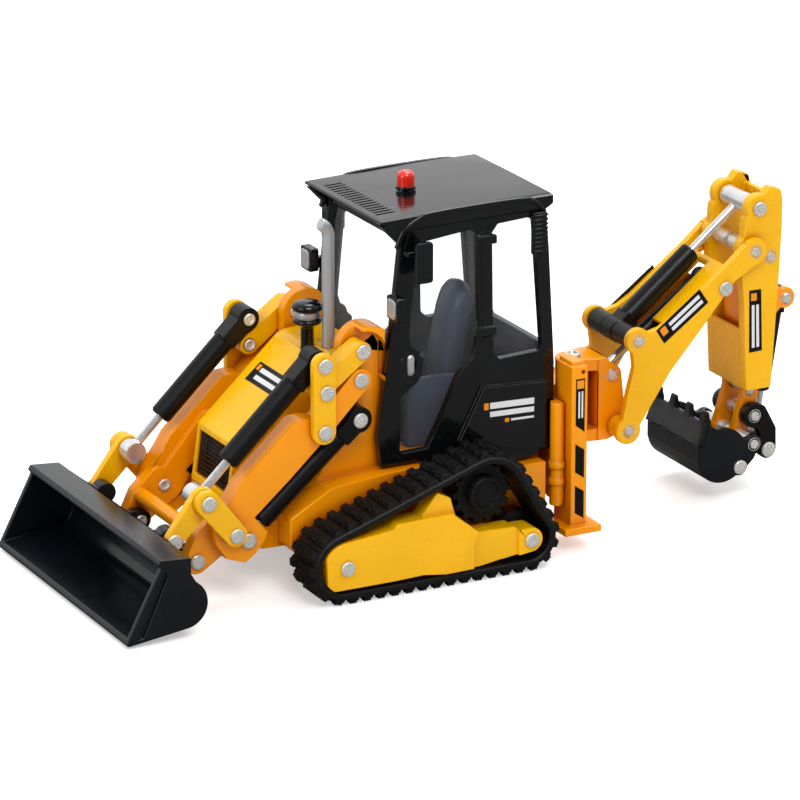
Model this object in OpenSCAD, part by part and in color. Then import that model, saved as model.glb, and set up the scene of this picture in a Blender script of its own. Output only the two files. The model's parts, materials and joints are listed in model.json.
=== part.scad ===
// Tracked backhoe loader toy, about 1:32 scale, as an assembly of separate pieces.
// +X points forward to the loader bucket, +Y to the machine's left, +Z up.
// Side profiles are drawn as [x, z] with x = 0 at the middle of the track's ground contact.

/* [Placement] */
// Distance that the machine moves forward so that the origin lies under its middle
machine_shift = 14.4; // [0:0.05:30]

/* [Rivets] */
// Radius of a rivet's shank
shank_r = 0.85; // [0.6:0.05:1.2]
// Radius of a rivet's domed head
head_r = 1.5; // [1.3:0.05:2]
// Thickness of a rivet's head
head_t = 0.62; // [0.4:0.02:0.9]
// Radial gap between a shank and its hole
bore_gap = 0.06; // [0.03:0.01:0.1]
// Radial gap at a pivot that is left open
loose_gap = 0.4; // [0.3:0.05:0.6]
// Side gap between two plates that turn on each other
side_gap = 0.2; // [0.1:0.05:0.3]

/* [Tracks] */
// Outer face of the tracks from the centre plane
track_out = 29; // [26:0.5:31]
// Width of one rubber belt
belt_w = 10; // [8:0.5:11]
// Front idler centre, [x, z]
idler_front = [19.5, 7.8]; // [5:0.1:25]
// Front idler: outer radius of the belt with its lugs
idler_front_r = 7.8; // [7:0.1:9]
// Rear idler centre, [x, z]
idler_rear = [-20.8, 6.9]; // [-25:0.1:10]
// Rear idler: outer radius of the belt with its lugs
idler_rear_r = 6.9; // [6:0.1:8]
// Drive sprocket centre, [x, z]
sprocket_at = [-11.9, 17.1]; // [-20:0.1:20]
// Drive sprocket: outer radius of the belt with its lugs
sprocket_r = 9.2; // [8.5:0.1:10]
// Thickness of the belt without its lugs
belt_t = 1.3; // [1:0.1:1.8]
// Height of a lug
lug_h = 1.2; // [0.8:0.1:1.5]
// Number of lugs on one belt
lug_n = 42; // [36:1:48]
// Number of sprocket teeth
tooth_n = 14; // [11:1:18]

/* [Cab and bonnet] */
// Half width of the cab's side frames
cab_out = 16.2; // [15:0.1:17]
// Height of the roof's top face
roof_z = 72; // [68:0.5:75]
// Half width of the bonnet at its nose
nose_w = 8.3; // [7:0.1:9]
// Half width of the bonnet at the cab
bonnet_w = 9.9; // [9:0.1:10.2]
// Radius of the exhaust stack
exhaust_r = 1.25; // [1:0.05:1.5]

/* [Loader linkage] */
// Tie link pivot on the tower, [x, z]
tie_at = [10.5, 47.1]; // [5:0.1:50]
// Arm pivot on the tower, [x, z]
arm_at = [11, 41.4]; // [5:0.1:50]
// Lift ram pivot on the tower, [x, z]
lift_at = [11.2, 33.3]; // [5:0.1:50]
// Rear lever pins: crowd ram, tie link and arm, [x, z]
rear_top = [19.7, 46.1]; // [10:0.1:50]
// Rear lever's tie link pin, [x, z]
rear_mid = [19.3, 40.6]; // [10:0.1:50]
// Rear lever's arm pin, [x, z]
rear_low = [19.7, 32.6]; // [10:0.1:50]
// Lift ram's front pin on the arm, [x, z]
lift_front = [35.3, 12.6]; // [10:0.1:50]
// Front lever pivot on the arm, [x, z]
front_low = [38.7, 14.8]; // [10:0.1:50]
// Front lever's upper pin, shared with the tipping link, [x, z]
front_top = [44.6, 22.2]; // [10:0.1:50]
// Tipping link's pin on the bucket, [x, z]
tip_at = [51, 14.9]; // [10:0.1:60]
// Bucket pivot on the arm, [x, z]
bucket_at = [45, 9.1]; // [5:0.1:60]
// Half width of the loader bucket
bucket_w = 31; // [29:0.5:32]

/* [Backhoe linkage] */
// Slew axis, distance behind the track centre
slew_x = -46; // [-48:0.1:-45]
// Boom pivot on the slew post, [x, z]
boom_at = [-53.9, 18.1]; // [-60:0.1:60]
// Boom ram's pin on the slew post, [x, z]
boom_ram_at = [-52.8, 28.7]; // [-60:0.1:60]
// Boom ram's pin on the boom, [x, z]
boom_mid = [-75.9, 45]; // [-90:0.1:60]
// Dipper ram's pin on the boom's heel, [x, z]
boom_heel = [-55.9, 36.8]; // [-90:0.1:60]
// Dipper pivot on the boom's tip, [x, z]
dipper_at = [-82.9, 51.8]; // [-90:0.1:60]
// Dipper ram's pin on the dipper's ears, [x, z]
dipper_top = [-84.6, 60.1]; // [-95:0.1:70]
// Stop rivet through the dipper, [x, z]
dipper_stop = [-87.4, 49.6]; // [-95:0.1:70]
// Bucket ram's pin on the extension's back lobes, [x, z]
crowd_lobe = [-93.5, 39.1]; // [-99:0.1:70]
// Tipping lever pivot on the extension, [x, z]
lever_at = [-85.3, 15.6]; // [-95:0.1:30]
// Pin that joins the levers, the link and the bucket ram, [x, z]
lever_low = [-88.6, 7.95]; // [-95:0.1:30]
// Digging bucket's link pin, [x, z]
scoop_link = [-79.6, 6.7]; // [-95:0.1:30]
// Digging bucket's pivot on the extension, [x, z]
scoop_at = [-82.9, 11.1]; // [-95:0.1:30]
// Half width of the digging bucket
scoop_w = 10.4; // [9.5:0.1:11]

/* [Hidden] */
$fn = 48;

// Paint and plastic colours
body_orange = [0.93, 0.62, 0.04];
plastic_yellow = [0.88, 0.72, 0.02];
cab_black = [0.06, 0.06, 0.07];
scoop_black = [0.13, 0.15, 0.17];
ram_black = [0.1, 0.1, 0.11];
tread_black = [0.09, 0.09, 0.1];
nickel = [0.78, 0.77, 0.74];
beacon_red = [0.86, 0.18, 0.08];
seat_grey = [0.3, 0.31, 0.36];
glass_tint = [0.75, 0.8, 0.85, 0.35];

hole_r = shank_r + bore_gap;
rivet_gap = 0.04;
// Flank corners sit this share of the radius out, just inside the round end
seat = 0.997;

// Side levels: distance of each layer of plates from the centre plane
tower_in = 11;
tower_out = 13.6;
arm_in = tower_out + side_gap;
arm_out = arm_in + 4.6;
lever_in = arm_out + side_gap;
lever_out = lever_in + 1.8;
nose_in = 12.8;
nose_out = 15.8;
link_in = 16.6;
link_out = arm_out;
eye_in = nose_in + 0.1;
eye_out = link_in - side_gap;
ram_y = (arm_in + arm_out) / 2;
belt_in = track_out - belt_w;
cover_in = track_out - 5;
cover_out = track_out + 0.4;
post_in = 2.6;
post_out = 4.4;
boom_in = 7.8;
boom_out = 9.4;
ext_in = 2.5;
ext_out = 4.2;
dip_in = 5.2;
dip_out = boom_in - side_gap;
fork_out = 6.5;
scoop_in = scoop_w - 1.6;

// Ram sizes
ram_r = 2.2;
rod_r = 0.9;
ram_bore = 1.05;
crowd_y = link_in - rod_r - side_gap - 0.1;

function vec_len(v) = sqrt(v[0] * v[0] + v[1] * v[1]);
function heading(a, b) = atan2(b[1] - a[1], b[0] - a[0]);
function polar(at, r, angle) = at + r * [cos(angle), sin(angle)];

// Puts the machine on its final place along X
module placed() {
    translate([machine_shift, 0, 0]) children();
}

// Mirrors one side's pieces to the other side
module pair() {
    children();
    mirror([0, 1, 0]) children();
}

// Extrudes an [x, z] profile between two distances from the centre plane
module plate(y_in, y_out) {
    translate([0, y_out, 0]) rotate([90, 0, 0]) linear_extrude(y_out - y_in) children();
}

// Profile of two round ends and the straight flanks that touch them
module bar(a, ra, b, rb) {
    spread = acos((ra - rb) / vec_len(b - a));
    angle = heading(a, b);
    translate(a) circle(ra);
    translate(b) circle(rb);
    polygon([
        polar(a, ra * seat, angle + spread), polar(b, rb * seat, angle + spread),
        polar(b, rb * seat, angle - spread), polar(a, ra * seat, angle - spread)
    ]);
}

// Round holes at a list of points
module holes(points) {
    for (p = points) translate(p) circle(hole_r);
}

// Round rod across the machine
module cross_rod(at, r, y_in, y_out) {
    translate([at[0], y_out, at[1]]) rotate([90, 0, 0]) cylinder(r = r, h = y_out - y_in);
}

// Rivet with a domed head outside and a rolled collar inside
module rivet(at, y_in, y_out) {
    cross_rod(at, shank_r, y_in - 0.4, y_out + head_t);
    cross_rod(at, head_r, y_out + rivet_gap, y_out + head_t - 0.15);
    cross_rod(at, head_r - 0.2, y_out + rivet_gap, y_out + head_t);
    cross_rod(at, shank_r + 0.4, y_in - 0.45, y_in - rivet_gap);
}

// Rivet through the full width, with a head on each side
module through_rivet(at, y_out) {
    cross_rod(at, shank_r, -y_out - head_t, y_out + head_t);
    pair() {
        cross_rod(at, head_r, y_out + rivet_gap, y_out + head_t - 0.15);
        cross_rod(at, head_r - 0.2, y_out + rivet_gap, y_out + head_t);
    }
}

// Short rivet that ends at the inner face of one plate
module stub_rivet(at, y_in, y_out) {
    cross_rod(at, shank_r, y_in, y_out + head_t);
    cross_rod(at, head_r, y_out + rivet_gap, y_out + head_t - 0.15);
    cross_rod(at, head_r - 0.2, y_out + rivet_gap, y_out + head_t);
}

// Places children drawn along +X from one pin towards another
module along(a, b, y) {
    translate([a[0], y, a[1]]) rotate([0, -heading(a, b), 0]) children();
}

// Ram barrel from its eye: half thickness of the eye, start and end of the tube
module barrel(eye_r, eye_half, neck, tube_end, tube_r, bore_start) {
    difference() {
        union() {
            rotate([90, 0, 0]) translate([0, 0, -eye_half]) cylinder(r = eye_r, h = 2 * eye_half);
            translate([0, -eye_half, -eye_r * 0.75]) cube([neck + 0.5, 2 * eye_half, eye_r * 1.5]);
            rotate([0, 90, 0]) translate([0, 0, neck]) cylinder(r = tube_r, h = tube_end - neck - 0.3);
            rotate([0, 90, 0]) translate([0, 0, tube_end - 0.4]) cylinder(r = tube_r - 0.25, h = 0.4);
        }
        rotate([0, 90, 0]) translate([0, 0, bore_start]) cylinder(r = ram_bore, h = tube_end);
    }
}

// ---------------------------------------------------------------- tracks

// Wheels in the order in which the belt meets them, each [x, z, radius]
function belt_wheels(inset) = [
    [idler_rear[0], idler_rear[1], idler_rear_r - inset],
    [idler_front[0], idler_front[1], idler_front_r - inset],
    [sprocket_at[0], sprocket_at[1], sprocket_r - inset]
];

// Heading of the straight run that leaves wheel i for wheel j, wheels on its left
function run_heading(w, i, j) =
    let (d = [w[j][0] - w[i][0], w[j][1] - w[i][1]])
    atan2(d[1], d[0]) + asin((w[i][2] - w[j][2]) / vec_len(d));

function run_start(w, i, h) = polar([w[i][0], w[i][1]], w[i][2], h - 90);
function turn(from, to) = (to - from + 720) % 360;

// Closed outline of the belt: straight runs and arcs in small steps
module loop_profile(inset) {
    w = belt_wheels(inset);
    heads = [for (i = [0 : 2]) run_heading(w, i, (i + 1) % 3)];
    for (i = [0 : 2]) translate([w[i][0], w[i][1]]) circle(w[i][2], $fn = 96);
    polygon([
        for (i = [0 : 2]) for (k = [0, 1])
            let (j = (i + k) % 3) run_start(w, j, heads[i])
    ]);
}

// Point and heading at distance s along the belt's outer face
function belt_pose(w, heads, runs, arcs, s, i = 0) =
    s < runs[i]
        ? concat(polar(run_start(w, i, heads[i]), s, heads[i]), heads[i])
        : s < runs[i] + arcs[i]
            ? let (j = (i + 1) % 3, h = heads[i] + (s - runs[i]) / w[j][2] * 180 / PI)
              concat(run_start(w, j, h), h)
            : belt_pose(w, heads, runs, arcs, s - runs[i] - arcs[i], (i + 1) % 3);

module belt() {
    w = belt_wheels(lug_h);
    heads = [for (i = [0 : 2]) run_heading(w, i, (i + 1) % 3)];
    runs = [for (i = [0 : 2]) vec_len(run_start(w, (i + 1) % 3, heads[i]) - run_start(w, i, heads[i]))];
    arcs = [for (i = [0 : 2]) turn(heads[i], heads[(i + 1) % 3]) * PI / 180 * w[(i + 1) % 3][2]];
    total = runs[0] + runs[1] + runs[2] + arcs[0] + arcs[1] + arcs[2];
    lug_len = 0.5 * total / lug_n;
    plate(belt_in, track_out) {
        difference() {
            loop_profile(lug_h);
            loop_profile(lug_h + belt_t);
        }
    }
    for (k = [0 : lug_n - 1]) {
        pose = belt_pose(w, heads, runs, arcs, (runs[0] / 2 + k * total / lug_n) % total);
        translate([pose[0], belt_in + 0.4, pose[1]]) rotate([0, -pose[2], 0])
            translate([-lug_len / 2, 0, -lug_h]) cube([lug_len, belt_w - 0.8, lug_h + 0.4]);
    }
}

module wheel(at, r, hub_r, y_in, y_out) {
    difference() {
        union() {
            cross_rod(at, r, y_in, y_out);
            cross_rod(at, hub_r, y_in - 0.5, y_out + 0.4);
        }
        cross_rod(at, hole_r, y_in - 1, y_out + 1);
    }
}

module sprocket() {
    rim = sprocket_r - lug_h - belt_t - 0.25;
    difference() {
        union() {
            plate(belt_in + 2, belt_in + 6.4) translate(sprocket_at) {
                circle(rim - 0.9);
                for (k = [0 : tooth_n - 1]) rotate(k * 360 / tooth_n)
                    translate([rim - 1.5, -0.62]) square([1.45, 1.24]);
            }
            cross_rod(sprocket_at, 3.7, belt_in + 1.5, belt_in + 7.6);
        }
        cross_rod(sprocket_at, 2.5, belt_in + 7, belt_in + 8);
        cross_rod(sprocket_at, hole_r, belt_in, belt_in + 9);
        for (k = [0 : 7]) cross_rod(polar(sprocket_at, 3.1, k * 45), 0.28, belt_in + 7.2, belt_in + 8);
    }
}

module front_idler() {
    wheel(idler_front, idler_front_r - lug_h - belt_t - 0.15, 2.6, belt_in + 0.8, cover_in - 0.9);
}

module rear_idler() {
    wheel(idler_rear, idler_rear_r - lug_h - belt_t - 0.15, 2.4, belt_in + 0.8, cover_in - 0.9);
}

// Side cover of the undercarriage, with a step, a raised fin and a round rear lobe
module track_frame() {
    intersection() {
        plate(cover_in - 1, cover_out + 2) loop_profile(lug_h + belt_t + 0.15);
        track_cover();
    }
}

module track_cover() {
    difference() {
        union() {
            plate(cover_in, cover_out) difference() {
                union() {
                    polygon([
                        [23.6, 3.4], [24, 11.6], [23, 12.7], [9.5, 14], [8.6, 15], [-3.4, 15.2],
                        [-9.4, 10.3], [-17.4, 10], [-19.4, 8.5], [-19.4, 4.4], [-9.6, 3], [-2, 2.9],
                        [3, 3.6], [9, 3.4]
                    ]);
                    bar(idler_rear, 2.5, idler_rear + [6, -0.3], 2.9);
                }
                holes([idler_front, idler_rear]);
            }
            plate(cover_in, cover_out - 1.4) polygon([[3.6, 14], [-0.6, 19.6], [-3.6, 18], [-4.6, 14]]);
        }
        plate(cover_out - 0.8, cover_out + 1) polygon([
            [-8.2, 1], [-8.2, 8.4], [-9.9, 12.4], [-12, 13], [-16, 13], [-18, 9.4], [-18, 1]
        ]);
    }
}

module track_side(left) {
    mirror([0, left ? 0 : 1, 0]) children();
}

module sprocket_left() { placed() track_side(true) color(tread_black) sprocket(); }
module sprocket_right() { placed() track_side(false) color(tread_black) sprocket(); }
module front_idler_left() { placed() track_side(true) color(tread_black) front_idler(); }
module front_idler_right() { placed() track_side(false) color(tread_black) front_idler(); }
module rear_idler_left() { placed() track_side(true) color(tread_black) rear_idler(); }
module rear_idler_right() { placed() track_side(false) color(tread_black) rear_idler(); }
module track_belt_left() { placed() track_side(true) color(tread_black) belt(); }
module track_belt_right() { placed() track_side(false) color(tread_black) belt(); }
module track_frame_left() { placed() track_side(true) color(plastic_yellow) track_frame(); }
module track_frame_right() { placed() track_side(false) color(plastic_yellow) track_frame(); }

// ---------------------------------------------------------------- chassis

deck_side = belt_in - 0.5;

// Round-topped loader tower that widens into the deck
module tower_profile() {
    translate([8.2, 46.4]) circle(5.1);
    polygon([
        [4.8, 20], [3.25, 46.2], [13.1, 46.2], [13.6, 36], [14.4, 28], [17.4, 22], [20, 18]
    ]);
}

// Die-cast chassis: belly, side decks and the two loader towers
module chassis() {
    placed() color(body_orange) difference() {
        union() {
            plate(-tower_in - 1.6, tower_in + 1.6) polygon([
                [29.5, 8], [33, 10.4], [33, 16.6], [6, 22], [-31.4, 22], [-31.4, 10], [-28.4, 7]
            ]);
            pair() {
                plate(tower_in, deck_side) polygon([
                    [26.4, 9.6], [26.4, 15.4], [17.4, 20.4], [5, 21.6], [-3, 21.6], [-9, 18.4], [-29.9, 18.4],
                    [-29.9, 9.6], [-24, 5.6], [22, 5.6]
                ]);
                plate(tower_in, tower_out) {
                    tower_profile();
                }
                intersection() {
                    plate(tower_out - 0.4, arm_out - 1.2) difference() {
                        tower_profile();
                        translate([1.5, -0.9]) tower_profile();
                    }
                    translate([5, 0, 40]) cube([5, 40, 40]);
                }
            }
        }
        plate(-tower_in, tower_in) polygon([
            [28.6, 3], [29, 9.3], [31.4, 11.2], [31.4, 15], [6, 20.2], [-29.8, 20.2], [-29.8, 9], [-28, 3]
        ]);
        pair() {
            plate(tower_in + 2, deck_side - 1.6) polygon([
                [24.4, 3], [24.4, 14.2], [17, 18.4], [-2, 19.4], [-8, 16.4], [-28.3, 16.4], [-28.3, 11],
                [-24, 3]
            ]);
            plate(tower_in - 1, tower_out + 1) holes([tie_at, arm_at, lift_at]);
            plate(tower_in - 1, deck_side + 1) holes([idler_front, idler_rear, sprocket_at]);
        }
    }
}

// Axle rivets of the tracks and pivot rivets of the towers
module chassis_rivets() {
    placed() color(nickel) {
        pair() {
            rivet(tie_at, tower_in, arm_out);
            rivet(arm_at, tower_in, arm_out);
            rivet(lift_at, tower_in, arm_out);
            for (at = [idler_front, idler_rear]) {
                rivet(at, deck_side - 1.6, cover_out);
            }
            cross_rod(sprocket_at, shank_r, deck_side - 1.6, belt_in + 7.2);
            cross_rod(sprocket_at, 1.6, belt_in + 7.1, belt_in + 7.7);
        }
        translate([slew_x, 0, 14.5]) cylinder(r = shank_r, h = 18.8);
        translate([slew_x, 0, 32.68]) cylinder(r = head_r + 0.2, h = head_t);
        translate([slew_x, 0, 14.5]) cylinder(r = head_r, h = head_t);
    }
}

// Air cleaner's axis, [x, y]
cleaner_at = [14.4, 2];

// Bonnet shell: sloping nose, flat rear, widening towards the cab
module bonnet_body(inset, low) {
    nose = [[35 - inset, low], [33.3 - inset, 28.4 - inset * 0.6], [15.6, 43.9 - inset * 1.3]];
    intersection() {
        plate(-20, 20) polygon(concat(nose, [[13.6, 44.6 - inset], [5.2, 44.9 - inset], [5.2, low]]));
        linear_extrude(60) polygon([
            [36, nose_w - inset], [5, bonnet_w - inset], [5, inset - bonnet_w], [36, inset - nose_w]
        ]);
    }
}

module bonnet() {
    placed() color(plastic_yellow) difference() {
        bonnet_body(0, 16.9);
        bonnet_body(1.3, 10);
        translate([31, 1 - nose_w, 18.4]) cube([6, 2 * nose_w - 2, 8.8]);
        plate(-20, 20) polygon([[33.05, 16.72], [5, 22.33], [4, 22.33], [4, 10], [33.05, 10]]);
        translate([cleaner_at[0], cleaner_at[1], 40]) cylinder(r = 1.35, h = 10);
        translate([11.5, 5.4, 40]) cylinder(r = exhaust_r + 0.05, h = 10);
    }
}

// Radiator grille with upright bars
module front_grille() {
    placed() color(ram_black) difference() {
        intersection() {
            plate(-nose_w + 1.1, nose_w - 1.1) polygon([
                [34.1, 18.5], [32.9, 27.1], [32.2, 27.1], [33.3, 18.5]
            ]);
            translate([20, -10, 18.5]) cube([20, 20, 8.6]);
        }
        for (k = [-6 : 6]) translate([32.6, k * 1.05 - 0.2, 19]) cube([3, 0.4, 7.6]);
    }
}

// Sloping vents on the bonnet's flanks
module side_vents() {
    placed() color(ram_black) pair() intersection() {
        plate(8, 12) polygon([[28.4, 22.6], [16.2, 33.8], [16, 31.6], [25.6, 20.6]]);
        linear_extrude(60) polygon([
            [36, nose_w + 0.05], [36, nose_w + 0.45], [5, bonnet_w + 0.45], [5, bonnet_w + 0.05]
        ]);
    }
}

// Upright exhaust with a bent tip
module exhaust_stack() {
    stack_top = 67.2;
    bend_r = 2.6;
    placed() translate([11.5, 5.4, 0]) color(nickel) {
        difference() {
            translate([0, 0, 43.2]) cylinder(r = exhaust_r, h = stack_top - 43.2);
            translate([0, 0, 42]) cylinder(r = exhaust_r - 0.5, h = 20);
        }
        translate([bend_r, 0, stack_top]) rotate([90, 0, 0])
            rotate([0, 0, 180]) mirror([0, 1, 0])
                rotate_extrude(angle = 70) translate([bend_r, 0]) circle(exhaust_r);
    }
}

// Air cleaner: stem, lower flange, bowl and mushroom cap
module air_cleaner() {
    placed() translate(cleaner_at) color(ram_black) rotate_extrude() polygon([
        [0, 43], [1.3, 43], [1.3, 48.2], [1.8, 48.5], [2.8, 49.1], [2.9, 49.7], [2.3, 50.1],
        [2.3, 51.4], [2.9, 51.7], [3.05, 52.5], [2.4, 53.2], [0.8, 53.5], [0, 53.5]
    ]);
}

// ---------------------------------------------------------------- cab

// Outline of a cab side, with the door and the rear window
module cab_side_profile() {
    difference() {
        polygon([
            [5.4, 21.8], [6.2, 28], [3.2, 50], [1.6, 64], [0.8, 70.6], [-30.6, 70.8], [-31.4, 62],
            [-32.8, 38], [-32.8, 20.4], [-26, 18.6], [-9.1, 18.6], [-3.1, 21.8]
        ]);
        polygon([
            [-2.2, 64.6], [-4.4, 66.6], [-14, 67.6], [-15.4, 66.6], [-16, 46], [-14.8, 41.4], [-11.4, 38.2],
            [-7.6, 30], [-4.6, 24.4], [0.9, 24.2], [1.4, 25], [1, 35.8], [-1, 37.4], [-3.4, 39.4],
            [-3.8, 43], [-1.4, 45.4], [-0.6, 48]
        ]);
        polygon([
            [-18.8, 66.4], [-20, 68], [-27.2, 68.4], [-28, 67.4], [-30, 41.8], [-29.2, 40.8],
            [-20.6, 40.4], [-19.2, 41.8]
        ]);
        translate([-1, 42]) circle(1.15);
    }
}

module cab_frame() {
    side_in = cab_out - 1.8;
    placed() color(cab_black) {
        pair() {
            plate(side_in, cab_out) cab_side_profile();
            plate(side_in, cab_out + 1.1) polygon([
                [-11.2, 25], [-16.6, 35.4], [-30.6, 34.6], [-31, 20.6], [-20, 22.6]
            ]);
            for (z = [46.4, 65]) translate([-19.4, cab_out - 0.5, z - 0.6]) cube([4.2, 1.4, 1.7]);
            plate(cab_out - 0.5, cab_out + 0.5) bar([-17.4, 46], 0.9, [-17.2, 66.4], 0.9);
        }
        plate(-side_in - 0.2, side_in + 0.2) polygon([
            [1.2, 67.4], [0.8, 70.6], [-0.6, 70.6], [-0.4, 67.4]
        ]);
        plate(-side_in - 0.2, side_in + 0.2) polygon([
            [-30.2, 66.8], [-30.6, 70.8], [-29.4, 70.8], [-29, 66.8]
        ]);
        plate(-side_in - 0.2, side_in + 0.2) polygon([
            [-31.2, 22.4], [-32.8, 22.4], [-32.8, 38], [-32.6, 41.4], [-31.2, 41.4]
        ]);
    }
}

// Roof plate with a sloping visor, a shallow crown and vent slots at the front
module roof() {
    half = 16.4;
    placed() color(cab_black) difference() {
        union() {
            intersection() {
                plate(-half, half) polygon([
                    [5.9, 71.3], [5.6, 71.8], [-31.4, roof_z + 1], [-32.2, roof_z + 0.4], [-32.2, 70.6],
                    [-30.4, 69.8], [0.4, 69.4]
                ]);
                rotate([90, 0, 90]) translate([0, 0, -40]) linear_extrude(50) polygon([
                    [-half, 67], [-half, roof_z + 0.2], [-half + 1, roof_z + 0.7], [-4, roof_z + 1],
                    [4, roof_z + 1],
                    [half - 1, roof_z + 0.7], [half, roof_z + 0.2], [half, 67]
                ]);
            }
            pair() plate(half - 1.4, half) polygon([[5.6, 70.8], [0.6, 65.6], [-0.8, 69.6], [-0.8, 70.8]]);
        }
        plate(-cab_out - 0.05, cab_out + 0.05) polygon([
            [2.4, 60], [1.4, 70.85], [-30.7, 70.85], [-31.6, 60]
        ]);
        for (k = [0 : 15]) translate([0.2, -11.6 + k * 1.5, 71.2]) cube([3.8, 0.7, 2]);
        translate([-8.2, 0, 60]) cylinder(r = hole_r, h = 20);
    }
}

module beacon() {
    lens_r = 1.75;
    placed() translate([-8.2, 0, 0]) color(beacon_red) {
        rotate_extrude() polygon([
            [0, 70.9], [shank_r, 70.9], [shank_r, roof_z + 1.02], [lens_r + 0.15, roof_z + 1.02],
            [lens_r + 0.15, roof_z + 1.5], [lens_r, roof_z + 1.5], [lens_r, roof_z + 2.6],
            for (a = [15 : 12 : 75]) [lens_r * cos(a), roof_z + 2.6 + lens_r * sin(a)],
            [0, roof_z + 2.6 + lens_r * sin(75)]
        ]);
    }
}

// Clear insert: side panes, windscreen and rear window in one moulding
module cab_glazing() {
    pane_out = cab_out - 2;
    pane_in = pane_out - 0.8;
    outline = [
        [3.2, 23.4], [4, 28], [1.4, 50], [0, 64], [-0.8, 69.2], [-28.6, 69.2], [-29.4, 62],
        [-30.8, 38], [-30.8, 22.6]
    ];
    placed() color(glass_tint) difference() {
        plate(-pane_out, pane_out) polygon(outline);
        plate(-pane_in, pane_in) polygon([
            [2.4, 20], [3.2, 28], [0.6, 50], [-0.8, 64], [-1.6, 70], [-27.8, 70], [-28.6, 62],
            [-30, 38], [-30, 20]
        ]);
    }
}

module cab_mirrors() {
    placed() color(cab_black) pair() {
        translate([0, cab_out + 3.2, 59.6]) rotate([0, 0, 90]) plate_body(1.2, 3.6, 8.2);
        translate([-0.6, cab_out + 0.02, 64.6]) cube([1.6, 2.2, 1]);
    }
}

// Upright slab with rounded edges along X
module plate_body(t, w, h) {
    rotate([90, 0, 90]) linear_extrude(t) {
        translate([0, 0.7]) square([w, h - 1.4]);
        translate([0.7, 0]) square([w - 1.4, h]);
        for (x = [0.7, w - 0.7]) for (z = [0.7, h - 0.7]) translate([x, z]) circle(0.7);
    }
}

module work_lamps() {
    placed() color(cab_black) pair() {
        translate([2.6, cab_out + 0.2, 52.6]) plate_body(1.9, 4.6, 4.8);
        translate([1.4, cab_out + 0.02, 53.6]) cube([1.6, 1.8, 2]);
        translate([-30.4, cab_out + 0.02, 61]) cube([3.2, 1, 8.4]);
    }
}

module seat() {
    placed() color(seat_grey) {
        plate(-4.6, 4.6) {
            polygon([[-2.4, 22.2], [-3.4, 31.6], [-14.6, 30.8], [-19.6, 31.6], [-20.6, 22.2]]);
            polygon([[-14.2, 31], [-15.2, 44], [-17, 51.6], [-19, 53], [-20.4, 51.4], [-19.4, 31]]);
        }
        pair() plate(5.6, 8.2) polygon([[-4, 22.2], [-4.6, 35], [-7, 36.6], [-17, 36], [-18, 22.2]]);
        plate(-5.8, 5.8) polygon([[-6, 22.2], [-6, 29], [-16, 29], [-16, 22.2]]);
    }
}

// ---------------------------------------------------------------- loader

// Loader arms, one casting with a cross tube
module loader_arms() {
    slot_y = 1.5;
    tube_at = [43.6, 13.4];
    placed() color(body_orange) {
        difference() {
            union() {
                pair() {
                    plate(arm_in, arm_out) difference() {
                        union() {
                            bar(arm_at, 2.3, rear_low, 2.3);
                            polygon([
                                [18.4, 30.8], [31.5, 18.8], [30.6, 15.6], [31.6, 12.2], [33.7, 9.7],
                                [36, 8.2], [40, 9.6], [42.2, 13], [42.4, 15.6], [41.2, 18],
                                [38.4, 21.8], [36.8, 24.4],
                                [25.2, 35.1], [23, 35.3], [19, 34.6]
                            ]);
                        }
                        holes([arm_at, rear_low, lift_front, front_low]);
                    }
                    plate(nose_in, nose_out) difference() {
                        union() {
                            bar(front_low + [-1, -0.2], 3.2, bucket_at, 2.6);
                            bar(front_low + [1, 1.6], 2.2, tube_at, 1.9);
                            bar(tube_at, 1.9, bucket_at, 2.5);
                            bar(front_low + [-1, -0.2], 3.2, rear_low + [9, -6], 2.2);
                        }
                        holes([bucket_at, front_low]);
                    }
                }
                cross_rod(tube_at, 1.55, -nose_in - 0.5, nose_in + 0.5);
            }
            pair() {
                translate([lift_front[0], ram_y + slot_y, lift_front[1]]) rotate([90, 0, 0]) {
                    cylinder(r = 2.6, h = 2 * slot_y);
                    linear_extrude(2 * slot_y) polygon([
                        [-12, 8], [-2.2, -8], [2.5, -8], [2.5, 0.4], [0, 2.6], [-8, 11]
                    ]);
                }
                along(lift_at, lift_front, ram_y) translate([0, -4, -8]) cube([27.8, 8, 8 + ram_r + 0.25]);
            }
        }
        pair() {
            stub_rivet(lift_front, ram_y + slot_y, arm_out);
        }
    }
}

module tie_links() {
    placed() color(plastic_yellow) pair() plate(arm_in, arm_out) difference() {
        bar(tie_at, 1.85, rear_mid, 2);
        holes([tie_at]);
        translate(rear_mid) circle(shank_r + loose_gap);
    }
}

module rear_levers() {
    placed() color(plastic_yellow) pair() plate(lever_in, lever_out) difference() {
        bar(rear_top, 2.4, rear_low, 2.4);
        holes([rear_top, rear_mid, rear_low]);
    }
}

module rear_lever_rivets() {
    placed() color(nickel) pair() {
        rivet(rear_mid, arm_in, lever_out);
        rivet(rear_low, arm_in, lever_out);
    }
}

module crowd_ram_rivets() {
    placed() color(nickel) pair() rivet(rear_top, crowd_y - 2.3, lever_out);
}

crowd_tube_end = 25.8;

module crowd_ram_barrels() {
    placed() color(ram_black) pair() difference() {
        along(rear_top, front_top, crowd_y) barrel(2.3, 2.2, 5.8, crowd_tube_end, ram_r, 8);
        cross_rod(rear_top, hole_r, 5, 25);
    }
}

module crowd_ram_rods() {
    reach = vec_len(front_top - rear_top);
    placed() color(nickel) pair() {
        along(rear_top, front_top, crowd_y) rotate([0, 90, 0]) translate([0, 0, reach - 20])
            cylinder(r = rod_r, h = 19);
        cross_rod(front_top, 2.2, eye_in, eye_out);
    }
}

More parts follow.
